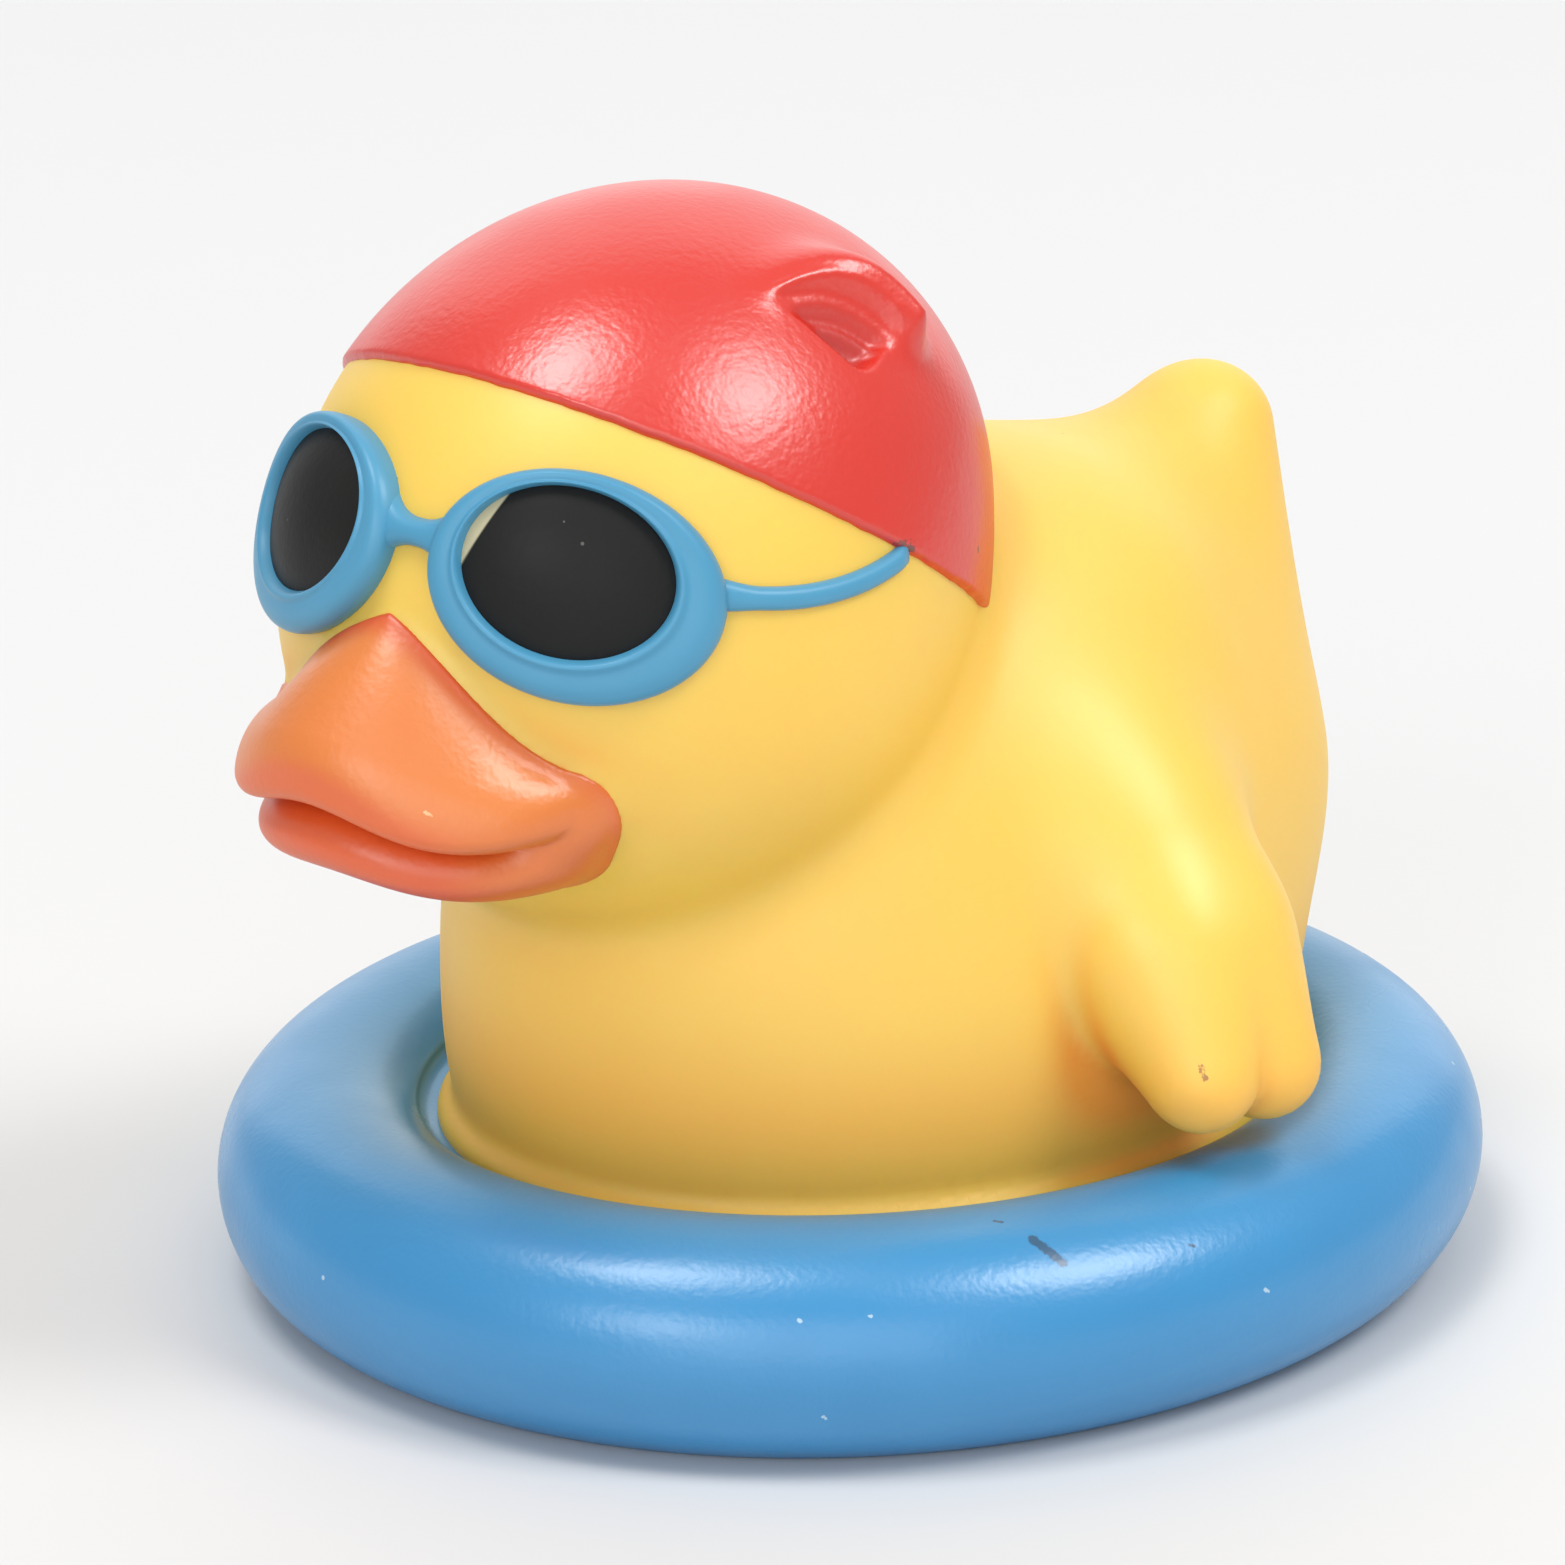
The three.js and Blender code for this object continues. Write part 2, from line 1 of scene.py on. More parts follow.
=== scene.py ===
"""Looks of a bath duck that sits in a swim ring, with a swim cap and goggles.

The duck is one soft-vinyl casting with sprayed colours. Each colour is a closed piece here, with a
finish of its own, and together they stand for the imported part's one solid. Lengths are millimetres
in the part's frame: +Z up, the duck faces -Y, its left is +X, and the origin is on the base at the
ring's centre. The head has a frame of its own, turned and leaning a little to the duck's left.
"""

import logging
import math
from collections.abc import Callable
from dataclasses import dataclass, field, replace
from enum import Enum
from itertools import product

import bpy
import numpy as np
import numpy.typing as npt
from mathutils import Matrix, Vector


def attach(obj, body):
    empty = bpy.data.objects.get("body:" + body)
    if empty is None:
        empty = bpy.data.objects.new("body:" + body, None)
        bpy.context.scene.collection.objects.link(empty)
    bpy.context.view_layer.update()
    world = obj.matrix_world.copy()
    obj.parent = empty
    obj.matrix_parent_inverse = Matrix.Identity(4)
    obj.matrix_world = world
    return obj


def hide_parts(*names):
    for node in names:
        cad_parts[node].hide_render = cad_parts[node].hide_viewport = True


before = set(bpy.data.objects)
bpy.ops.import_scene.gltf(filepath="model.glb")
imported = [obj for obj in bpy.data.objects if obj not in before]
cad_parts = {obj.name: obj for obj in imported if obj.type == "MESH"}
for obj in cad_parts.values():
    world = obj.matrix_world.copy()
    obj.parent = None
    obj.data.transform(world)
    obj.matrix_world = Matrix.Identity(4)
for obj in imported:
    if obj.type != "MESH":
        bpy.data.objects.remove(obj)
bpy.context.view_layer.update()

Array = npt.NDArray[np.float64]
Indices = npt.NDArray[np.int64]
Field = Callable[[Array], Array]
Pair = tuple[float, float]
Vec = tuple[float, float, float]
Colour = tuple[float, float, float]
Socket = bpy.types.NodeSocket
Value = Socket | float | Vec
Sockets = bpy.types.bpy_prop_collection

MM = 0.001
TINY = 1e-9
FLAT = 1e-6
QUARTER = math.pi / 2.0
ORIGIN: Vec = (0.0, 0.0, 0.0)
HALVINGS = 34
SETTLINGS = 5
SLOPE_SHARE = 0.05
BODY = "root"
NODE = "duck"
LOG = logging.getLogger("duck")


class Ends(Enum):
    """How the first and last rows of a grid are closed."""

    POLES = "each shrinks to a point"
    LOOP = "the last joins the first"


class Slot(Enum):
    """Material slots of the part's record."""

    YELLOW = "yellow_vinyl"
    CAP = "cap_red"
    RING = "ring_blue"
    GOGGLES = "goggle_blue"
    LENS = "lens_black"
    BILL = "bill_orange"


class Side(Enum):
    """Sides of the duck, with the sign of X on each."""

    LEFT = 1.0
    RIGHT = -1.0


class Kind(Enum):
    """Kinds of socket that a shader node group has."""

    VALUE = "NodeSocketFloat"
    VECTOR = "NodeSocketVector"
    COLOUR = "NodeSocketColor"


# Points, which have their coordinates on the last axis


def as_points(*parts: Array | float) -> Array:
    """Joins coordinates into points."""
    return np.stack(np.broadcast_arrays(*parts), axis=-1)


def unit(vectors: Array) -> Array:
    """Divides vectors by their lengths."""
    return vectors / np.maximum(np.linalg.norm(vectors, axis=-1, keepdims=True), TINY)


def mirrored(points: Array) -> Array:
    """Takes points of the right side to the left: X without its sign, Y and Z as they are."""
    return as_points(np.abs(points[..., 0]), points[..., 1], points[..., 2])


def tilted(points: Array, centre: Vec, degrees: float, axis: str) -> Array:
    """Offsets of points from a centre, in axes turned by some degrees about one of the frame's."""
    return (points - centre) @ np.array(Matrix.Rotation(math.radians(degrees), 3, axis))


def direction(azimuth: Array | float, elevation: Array | float) -> Array:
    """Unit vectors from degrees left of -Y and degrees above level."""
    turn, lift = np.radians(azimuth), np.radians(elevation)
    return as_points(np.sin(turn) * np.cos(lift), -np.cos(turn) * np.cos(lift), np.sin(lift))


def turn_angles(count: int) -> Array:
    """Evenly spaced angles of one turn, without the last."""
    return np.arange(count) * (2.0 * math.pi / count)


# Shares and fields; a field is negative inside a form, and about as large as the distance to it


def smooth_step(values: Array, low: float, high: float) -> Array:
    """Rises from 0 at low to 1 at high as 3 s^2 - 2 s^3."""
    share = np.clip((values - low) / (high - low), 0.0, 1.0)
    return share * share * (3.0 - 2.0 * share)


def bell(values: Array, width: float | Array) -> Array:
    """Bell curve exp(-(value / width)^2)."""
    return np.exp(-((values / width) ** 2))


def at_least(low: float, share: Array) -> Array:
    """Spreads a share of 0 to 1 over low to 1."""
    return low + (1.0 - low) * share


def blend(first: Array, second: Array, width: float | Array) -> Array:
    """Joins two fields with a fillet: the smaller, less width / 4 * nearness squared."""
    near = np.maximum(width - np.abs(first - second), 0.0) / width
    return np.minimum(first, second) - near * near * width / 4.0


def ellipsoid(points: Array, centre: Vec, radii: Vec) -> Array:
    """Field of an ellipsoid.

    The reach is the length of the offset divided by the radii, the slope the length of that divided
    by the radii again, and the field is reach * (reach - 1) / slope.

    Args:
        points: Points of the part.
        centre: Centre of the ellipsoid.
        radii: Its three radii.

    Returns:
        The field there.
    """
    scaled = (points - centre) / radii
    reach = np.linalg.norm(scaled, axis=-1)
    slope = np.linalg.norm(scaled / radii, axis=-1)
    return reach * (reach - 1.0) / np.maximum(slope, TINY)


def round_cone(points: Array, start: Vec, end: Vec, radii: Pair) -> Array:
    """Field of a cone between two balls that touches both.

    With t the taper over the length of the cone's side, the axis point that counts lies (distance
    across the axis) * t before the point's foot on the axis. The field is the distance to it, less
    the radius there.

    Args:
        points: Points of the part.
        start: Centre of the first ball.
        end: Centre of the last ball.
        radii: Radii of the two balls.

    Returns:
        The field there.
    """
    line = np.subtract(end, start)
    length = np.linalg.norm(line)
    offset = points - start
    along = offset @ line / length
    across = np.sqrt(np.maximum((offset * offset).sum(-1) - along * along, 0.0))
    taper = radii[0] - radii[1]
    shift = across * taper / math.sqrt(length * length - taper * taper)
    share = np.clip((along - shift) / length, 0.0, 1.0)
    return np.hypot(across, along - share * length) - (radii[0] - taper * share)


def slope_of(shape: Field, points: Array, reach: float) -> Array:
    """Slope of a field: its change from a reach before to a reach after, over twice the reach."""
    change = [shape(points + reach * axis) - shape(points - reach * axis) for axis in np.eye(3)]
    return np.stack(change, axis=-1) / (2.0 * reach)


def reach_along(shape: Field, centre: Vec, directions: Array, longest: float) -> Array:
    """Distance from a centre inside a form at which its field ends, found by halving.

    Args:
        shape: Field of the form.
        centre: Point inside it.
        directions: Unit vectors.
        longest: A distance that is outside in every direction.

    Returns:
        The distance for each direction.
    """
    inside = np.zeros(directions.shape[:-1])
    outside = np.full(directions.shape[:-1], longest)
    for _ in range(HALVINGS):
        middle = (inside + outside) / 2.0
        within = shape(centre + directions * middle[..., None]) < 0.0
        inside = np.where(within, middle, inside)
        outside = np.where(within, outside, middle)
    return outside


# Skins


def stood(name: str, data: bpy.types.ID) -> bpy.types.Object:
    """Puts a new object into the scene, at the origin."""
    made = bpy.data.objects.new(name, data)
    bpy.context.scene.collection.objects.link(made)
    return made


@dataclass
class Surface:
    """A closed skin: corner points in millimetres, faces, and named values at the corners."""

    points: Array
    quads: Indices
    triangles: Indices = field(default_factory=lambda: np.zeros((0, 3), np.int64))
    marks: dict[str, Array] = field(default_factory=dict)

    def outward(self) -> "Surface":
        """Turns the faces so that they point out.

        The signed volume is a sixth of the sum of the triple products of the faces' corners. If it
        is negative, the corners are taken in the other order.

        Returns:
            The skin with outward faces.
        """
        halves = [self.quads[:, [0, 1, 2]], self.quads[:, [0, 2, 3]], self.triangles]
        first, second, third = (self.points[corner] for corner in np.concatenate(halves).T)
        if np.einsum("ij,ij->i", first, np.cross(second, third)).sum() >= 0.0:
            return self
        return replace(self, quads=self.quads[:, ::-1], triangles=self.triangles[:, ::-1])

    def to_object(self, name: str, material: bpy.types.Material, slot: Slot) -> None:
        """Makes the skin a piece of the duck, at the origin, riding on the part's body.

        Args:
            name: Name of the piece.
            material: Its finish.
            slot: Not used.
        """
        skin = self.outward()
        mesh = bpy.data.meshes.new(name)
        mesh.from_pydata(skin.points * MM, [], skin.quads.tolist() + skin.triangles.tolist())
        mesh.polygons.foreach_set("use_smooth", np.ones(len(mesh.polygons), bool))
        for mark, values in skin.marks.items():
            layer = mesh.attributes.new(mark, "FLOAT", "POINT")
            layer.data.foreach_set("value", values.astype(np.float32).ravel())
        mesh.materials.append(material)
        mesh.update()
        piece = stood(name, mesh)
        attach(piece, BODY)
        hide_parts(NODE)
        LOG.info("%s: %d points, %d faces", name, len(mesh.vertices), len(mesh.polygons))


def closed_grid(grid: Array, ends: Ends) -> Surface:
    """Joins a grid of points, whose columns run round, into a closed skin.

    Args:
        grid: Points as rows and columns.
        ends: How the first and last rows are closed.

    Returns:
        The skin. With poles, the first and last rows count as one point each.
    """
    rows, columns = grid.shape[:2]
    if ends is Ends.LOOP:
        index = np.arange(rows * columns).reshape(rows, columns)
        below, after = np.roll(index, -1, axis=0), np.roll(index, -1, axis=1)
        quads = np.stack([index, after, np.roll(below, -1, axis=1), below], axis=-1)
        return Surface(grid.reshape(-1, 3), quads.reshape(-1, 4))
    points = np.concatenate([grid[0, :1], grid[1:-1].reshape(-1, 3), grid[-1, :1]])
    index = 1 + np.arange((rows - 2) * columns).reshape(rows - 2, columns)
    after = np.roll(index, -1, axis=1)
    quads = np.stack([index[:-1], after[:-1], after[1:], index[1:]], axis=-1).reshape(-1, 4)
    first = np.stack([np.zeros(columns, np.int64), after[0], index[0]], axis=-1)
    last = np.stack([np.full(columns, len(points) - 1), index[-1], after[-1]], axis=-1)
    return Surface(points, quads, np.concatenate([first, last]))


def lattice_skin(shape: Field, low: Vec, high: Vec, step: float) -> Surface:
    """Skin of a form with arms and hollows that no single grid of rays can reach.

    The field is worked out on a lattice. Each cell that the surface crosses gets one point, moved
    along the field's slope onto the surface, by half a step at most each time. Each lattice edge
    that crosses the surface gets one face between its four cells.

    Args:
        shape: Field of the form.
        low: Lowest corner of the lattice.
        high: Highest corner of the lattice.
        step: Spacing of the lattice.

    Returns:
        The closed skin.
    """
    axes = [np.arange(start, end + step, step) for start, end in zip(low, high)]
    inside = shape(np.stack(np.meshgrid(*axes, indexing="ij"), axis=-1)) < 0.0
    picks = list(product((slice(None, -1), slice(1, None)), repeat=3))
    corners = sum(inside[pick].astype(int) for pick in picks)
    crossed = (corners > 0) & (corners < len(picks))
    number = np.full(crossed.shape, -1, np.int64)
    number[crossed] = np.arange(crossed.sum())
    points = low + (np.argwhere(crossed) + 0.5) * step
    for _ in range(SETTLINGS):
        slope = slope_of(shape, points, step * SLOPE_SHARE)
        move = slope * (shape(points) / np.maximum((slope * slope).sum(-1), FLAT))[:, None]
        length = np.linalg.norm(move, axis=1, keepdims=True)
        points = points - move * np.minimum(1.0, 0.5 * step / np.maximum(length, TINY))
    faces = []
    for along in range(3):
        second, third = np.roll(np.eye(3, dtype=int), -along - 1, axis=0)[:2]
        change = np.diff(inside.astype(int), axis=along)
        edges = np.argwhere(change)
        cells = [edges - back for back in (second + third, third, 0, second)]
        quads = np.stack([number[tuple(cell.T)] for cell in cells], axis=-1)
        falls = change[tuple(edges.T)] < 0
        faces.append(np.where(falls[:, None], quads, quads[:, ::-1]))
    return Surface(points, np.concatenate(faces))


# Forms of the duck


@dataclass(frozen=True)
class Head:
    """The bare head: a cranium whose long axis rises to the back, filleted into round cheeks."""

    origin: Vec = (0.0, -20.9, 60.0)
    turn: float = 11.0
    roll: float = 2.5
    cranium_centre: Vec = (0.0, -0.85, 0.85)
    cranium_radii: Vec = (24.6, 28.2, 24.5)
    cranium_tilt: float = 24.0
    cheek_centre: Vec = (0.0, -1.45, -5.85)
    cheek_radii: Vec = (25.5, 24.1, 22.4)
    cheek_fillet: float = 4.0
    longest: float = 60.0

    def axes(self) -> Array:
        """Rotation from the head's frame to the part's: a roll about Y, then a turn about Z."""
        angles = ((self.turn, "Z"), (self.roll, "Y"))
        turn, roll = (Matrix.Rotation(math.radians(angle), 3, axis) for angle, axis in angles)
        return np.array(turn @ roll)

    def to_head(self, points: Array) -> Array:
        """Points of the part's frame in the head's frame."""
        return (points - self.origin) @ self.axes()

    def skull(self, points: Array) -> Array:
        """Field of the bare head, in its own frame."""
        level = tilted(points, self.cranium_centre, self.cranium_tilt, "X")
        cheeks = ellipsoid(points, self.cheek_centre, self.cheek_radii)
        return blend(ellipsoid(level, ORIGIN, self.cranium_radii), cheeks, self.cheek_fillet)

    def reach(self, shape: Field, rays: Array) -> Array:
        """Distance from the head's origin to the end of a form along unit rays."""
        return reach_along(shape, ORIGIN, rays, self.longest)

    def laid(self, towards: Array, height: Array | float) -> Array:
        """Points on the bare head in the directions of some points, raised by a height."""
        rays = unit(towards)
        return rays * (self.reach(self.skull, rays) + height)[..., None]

    def add(self, skin: Surface, name: str, material: bpy.types.Material, slot: Slot) -> None:
        """Makes a skin of the head's frame a piece, with its points taken to the part's frame."""
        points = skin.points @ self.axes().T + self.origin
        replace(skin, points=points).to_object(name, material, slot)


@dataclass(frozen=True)
class Casting:
    """The yellow skin: body, tail, two wings, bare head and foot, all filleted into each other."""

    head: Head
    bill: "Bill"
    cap: "SwimCap"
    half_width: float = 29.5
    half_length: float = 36.0
    centre_y: float = 2.0
    widest_z: float = 24.0
    top_z: float = 63.0
    depth_below: float = 33.5
    plan_power: float = 2.05
    side_power: float = 2.3
    least_reach: float = 1e-3
    lean: float = 10.0
    lean_start_z: float = 42.0
    lean_rise: float = 22.5
    web_top: float = 12.4
    foot_step: float = 1.5
    foot_height: float = 1.5
    foot_fillet: float = 1.2
    tail_root: Vec = (0.0, 30.0, 34.7)
    tail_tip: Vec = (0.0, 37.1, 59.4)
    tail_radii: Pair = (13.0, 4.8)
    tail_fillet: float = 13.6
    arm_centre: Vec = (26.5, 5.4, 35.0)
    arm_radii: Vec = (8.4, 9.4, 15.5)
    arm_tilt: float = 36.0
    front_lobe: tuple[Vec, Vec] = ((31.5, 3.6, 30.0), (37.2, 1.6, 23.2))
    rear_lobe: tuple[Vec, Vec] = ((31.5, 7.0, 30.0), (37.1, 8.2, 22.7))
    lobe_radii: Pair = (6.2, 4.2)
    lobe_crease: float = 0.8
    arm_fillet: float = 5.0
    wing_fillet: Pair = (2.0, 6.0)
    wing_fillet_z: Pair = (30.0, 42.0)
    neck_fillet: float = 3.2
    # Painted shade: how far the yellow turns deep orange in creases, and near the ring, where its
    # tube shades the body.
    shade_probes: tuple[float, ...] = (4.0, 9.0)
    shade_range: Pair = (0.1, 0.9)
    web_shade: float = 0.4
    web_shade_z: float = 20.5
    web_shade_reach: float = 5.5
    slope_reach: float = 0.1
    floor_z: float = 9.0
    box_low: Vec = (-45.0, -60.0, 6.0)
    box_high: Vec = (45.0, 48.0, 90.0)
    step: float = 0.72

    def outline(self, points: Array, centre_y: Array | float) -> Array:
        """Share of the body's outline, a superellipse in plan, that a point reaches."""
        side = np.abs(points[..., 0] / self.half_width) ** self.plan_power
        length = np.abs((points[..., 1] - centre_y) / self.half_length) ** self.plan_power
        return (side + length) ** (1.0 / self.plan_power)

    def body(self, points: Array) -> Array:
        """Field of the body, a superellipsoid that leans back with the square of the height.

        Args:
            points: Points of the part.

        Returns:
            Distance from the body's centre * (1 - 1 / share of the superellipsoid reached).
        """
        rise = np.maximum(points[..., 2] - self.lean_start_z, 0.0) / self.lean_rise
        centre_y = self.centre_y + self.lean * rise * rise
        plan = self.outline(points, centre_y)
        drop = points[..., 2] - self.widest_z
        level = np.abs(drop) / np.where(drop > 0.0, self.top_z - self.widest_z, self.depth_below)
        reach = (plan**self.side_power + level**self.side_power) ** (1.0 / self.side_power)
        distance = np.sqrt(points[..., 0] ** 2 + (points[..., 1] - centre_y) ** 2 + drop**2)
        return (1.0 - 1.0 / np.maximum(reach, self.least_reach)) * distance

    def foot(self, points: Array) -> Array:
        """Field of the flange: the body's outline at the web, a step wider, with a rounded top.

        Args:
            points: Points of the part.

        Returns:
            The field there.
        """
        level = (self.widest_z - self.web_top) / self.depth_below
        share = (1.0 - level**self.side_power) ** (1.0 / self.side_power)
        outline = (self.outline(points, self.centre_y) - share) * self.half_width
        outside = np.maximum(outline - self.foot_step + self.foot_fillet, 0.0)
        top = self.web_top + self.foot_height - self.foot_fillet
        return np.hypot(outside, np.maximum(points[..., 2] - top, 0.0)) - self.foot_fillet

    def wing(self, points: Array) -> Array:
        """Field of both wings: a tilted oval arm that ends in two lobes with a crease between.

        Args:
            points: Points of the part.

        Returns:
            The field there.
        """
        left = mirrored(points)
        level = tilted(left, self.arm_centre, -self.arm_tilt, "Y")
        front = round_cone(left, *self.front_lobe, self.lobe_radii)
        rear = round_cone(left, *self.rear_lobe, self.lobe_radii)
        lobes = blend(front, rear, self.lobe_crease)
        return blend(ellipsoid(level, ORIGIN, self.arm_radii), lobes, self.arm_fillet)

    def shape(self, points: Array) -> Array:
        """Field of the whole skin. The wing's fillet is wide at the shoulder, narrow in the armpit.

        Args:
            points: Points of the part.

        Returns:
            The field there.
        """
        tail = round_cone(points, self.tail_root, self.tail_tip, self.tail_radii)
        trunk = blend(self.body(points), tail, self.tail_fillet)
        narrow, wide = self.wing_fillet
        fillet = narrow + (wide - narrow) * smooth_step(points[..., 2], *self.wing_fillet_z)
        trunk = blend(trunk, self.wing(points), fillet)
        in_head = self.head.to_head(points)
        face = self.cap.make_room(in_head, self.bill.bare(in_head))
        trunk = blend(trunk, face, self.neck_fillet)
        trunk = blend(trunk, self.foot(points), self.foot_fillet)
        return np.maximum(trunk, self.floor_z - points[..., 2])

    def painted_shade_share(self, points: Array) -> Array:
        """How far the skin closes in round a point, from 0 to 1; the yellow takes that share of
        painted shade.

        A probe stands off along the skin's outward slope. What its field lacks of the stand-off is
        taken up by other skin near by. Near the web the ring closes in as well.

        Args:
            points: Points of the skin.

        Returns:
            The share of painted shade at each point.
        """
        normal = unit(slope_of(self.shape, points, self.slope_reach))
        lack = sum(1.0 - self.shape(points + off * normal) / off for off in self.shade_probes)
        closed = smooth_step(lack / len(self.shade_probes), *self.shade_range)
        # Painted shade where the ring's tube shades the body near the web.
        ring_shade = bell(points[..., 2] - self.web_shade_z, self.web_shade_reach)
        return np.clip(closed + self.web_shade * ring_shade, 0.0, 1.0)

    def build(self, finish: "Finish") -> None:
        """Makes the yellow piece in a finish, on a lattice, with painted shade as its hollow mark.
        """
        skin = lattice_skin(self.shape, self.box_low, self.box_high, self.step)
        # The hollow mark is painted shade: it turns the yellow deep orange in creases and near the
        # ring.
        skin.marks["hollow"] = self.painted_shade_share(skin.points)
        skin.to_object("yellow_casting", finish.material(), Slot.YELLOW)


@dataclass(frozen=True)
class SwimCap:
    """The red cap: a thin shell over the cranium, cut by a sloping plane, with one fold."""

    head: Head
    thickness: float = 0.55
    edge_height: float = 4.6
    edge_slope: float = 31.0
    edge_round: float = 0.7
    edge_sink: float = 0.5
    inside: float = 1.4
    waver: float = 0.014
    waver_turns: tuple[int, ...] = (9, 17, 29, 43, 61, 83)
    fold_direction: Vec = (16.0, 1.0, 20.8)
    fold_left: Pair = (-4.8, 4.2)
    fold_bottom: Pair = (-0.9, -5.3)
    fold_right: Pair = (6.2, -3.2)
    fold_bulge: float = 2.9
    fold_rounding: float = 1.6
    lip_height: float = 2.7
    lip_run: Pair = (-0.12, 0.75)
    lip_start: Pair = (1.5, 8.5)
    lip_inside: float = 2.6
    lip_outside: Pair = (1.6, 2.8)
    side_wall: Pair = (-0.3, 1.4)
    hollow_depth: float = 1.6
    hollow_reach: Pair = (0.8, 7.0)
    shade_reach: Pair = (1.5, 5.5)
    step_height: float = 0.32
    step_inside: tuple[float, ...] = (1.5, 3.2, 4.9)
    step_width: float = 0.5
    room_radius: float = 20.0
    room_depth: float = 2.2
    room_shift: Pair = (0.8, -0.8)
    columns: int = 420
    rows: int = 150
    edge_rows: int = 10
    back_rows: int = 12
    edge_rounds: int = 6

    def fold_axes(self) -> Array:
        """Axes of the fold as columns: level to the back, upwards, and out of the skull."""
        outward = unit(np.asarray(self.fold_direction))
        level = unit(np.array([-outward[1], outward[0], 0.0]))
        return np.stack([level, np.cross(outward, level), outward], axis=-1)

    def fold_seat(self) -> Array:
        """Point of the bare head under the fold."""
        return self.head.laid(np.asarray(self.fold_direction), 0.0)

    def fold_plan(self, points: Array) -> tuple[Array, Array, Array, Array]:
        """Place over the fold's plan, a rounded triangle whose upper edge bulges as a parabola.

        Args:
            points: Points in the head's frame.

        Returns:
            Distance out over the upper edge, distance out over the two lower edges, share of the
            way along the upper edge, and distance from the bottom corner.
        """
        place = ((points - self.fold_seat()) @ self.fold_axes())[..., :2]
        left, bottom, right = map(np.asarray, (self.fold_left, self.fold_bottom, self.fold_right))
        length = np.linalg.norm(right - left)
        along = (right - left) / length
        run = (place - left) @ along / length
        bulge = self.fold_bulge * (1.0 - (2.0 * run - 1.0) ** 2)
        upper = (place - left) @ np.array([-along[1], along[0]]) - bulge
        sides = []
        for start, end in ((left, bottom), (bottom, right)):
            edge = unit(end - start)
            sides.append((start - place) @ np.array([edge[1], -edge[0]]))
        lower = -blend(*sides, self.fold_rounding)
        return upper, lower, run, np.linalg.norm(place - bottom, axis=-1)

    def fold_height(self, points: Array) -> Array:
        """Height of the fold over the cap.

        The lip is a bell curve of the distance over the upper edge. It grows to the right, dies out
        at the bottom corner and falls off beyond the lower edges. From the lip the inside slopes
        down to the bottom corner, with small bell-shaped steps on its way.

        Args:
            points: Points in the head's frame.

        Returns:
            The height at each point.
        """
        upper, lower, run, from_bottom = self.fold_plan(points)
        rise = smooth_step(run, *self.lip_run) * smooth_step(from_bottom, *self.lip_start)
        beyond = bell(np.maximum(lower, 0.0), self.lip_outside[0])
        width = np.where(upper > 0.0, self.lip_outside[1], self.lip_inside)
        lip = self.lip_height * rise * beyond * bell(upper, width)
        steps = sum(bell(upper + depth, self.step_width) for depth in self.step_inside)
        slope = self.hollow_depth * smooth_step(-upper, *self.hollow_reach)
        return lip + smooth_step(-lower, *self.side_wall) * (self.step_height * steps - slope)

    def shape(self, points: Array) -> Array:
        """Field of the cap's outside: the skull grown by the thickness and the fold's height."""
        return self.head.skull(points) - self.thickness - self.fold_height(points)

    def make_room(self, points: Array, face: Array) -> Array:
        """Presses a wide dish into the bare head, so that the fold's hollow stays above it.

        Args:
            points: Points in the head's frame.
            face: Field of the bare head there.

        Returns:
            The field of what is left.
        """
        shift = np.array([*self.room_shift, self.room_radius - self.room_depth])
        centre = self.fold_seat() + self.fold_axes() @ shift
        return np.maximum(face, self.room_radius - np.linalg.norm(points - centre, axis=-1))

    def rays(self, polar: Array) -> Array:
        """Rays at polar angles from a pole that is square to the edge's plane.

        Args:
            polar: Polar angles, with the columns on the last axis.

        Returns:
            The unit rays: pole * cos(polar) + way out in the column * sin(polar).
        """
        slope = math.radians(self.edge_slope)
        pole, left = np.array([0.0, math.sin(slope), math.cos(slope)]), np.array([1.0, 0.0, 0.0])
        around = turn_angles(self.columns)[:, None]
        outwards = left * np.cos(around) + np.cross(pole, left) * np.sin(around)
        return pole * np.cos(polar)[..., None] + outwards * np.sin(polar)[..., None]

    def edge(self) -> tuple[Array, float]:
        """Where the cap ends: the angle's cosine is the edge's height / the skull's reach.

        The reach depends on the angle, so a few rounds settle it, and sine waves make it waver.

        Returns:
            The polar angle in each column, and the share of it that the edge's rounding takes.
        """
        height = self.edge_height * math.cos(math.radians(self.edge_slope))
        angle = np.full(self.columns, QUARTER)
        for _ in range(self.edge_rounds):
            radius = self.head.reach(self.head.skull, self.rays(angle))
            angle = np.arccos(height / radius)
        around = turn_angles(self.columns)
        waves = sum(np.sin(turns * around + turns * turns) for turns in self.waver_turns)
        angle = angle + self.waver * waves / radius
        return angle, self.edge_round / (angle.mean() * radius.mean())

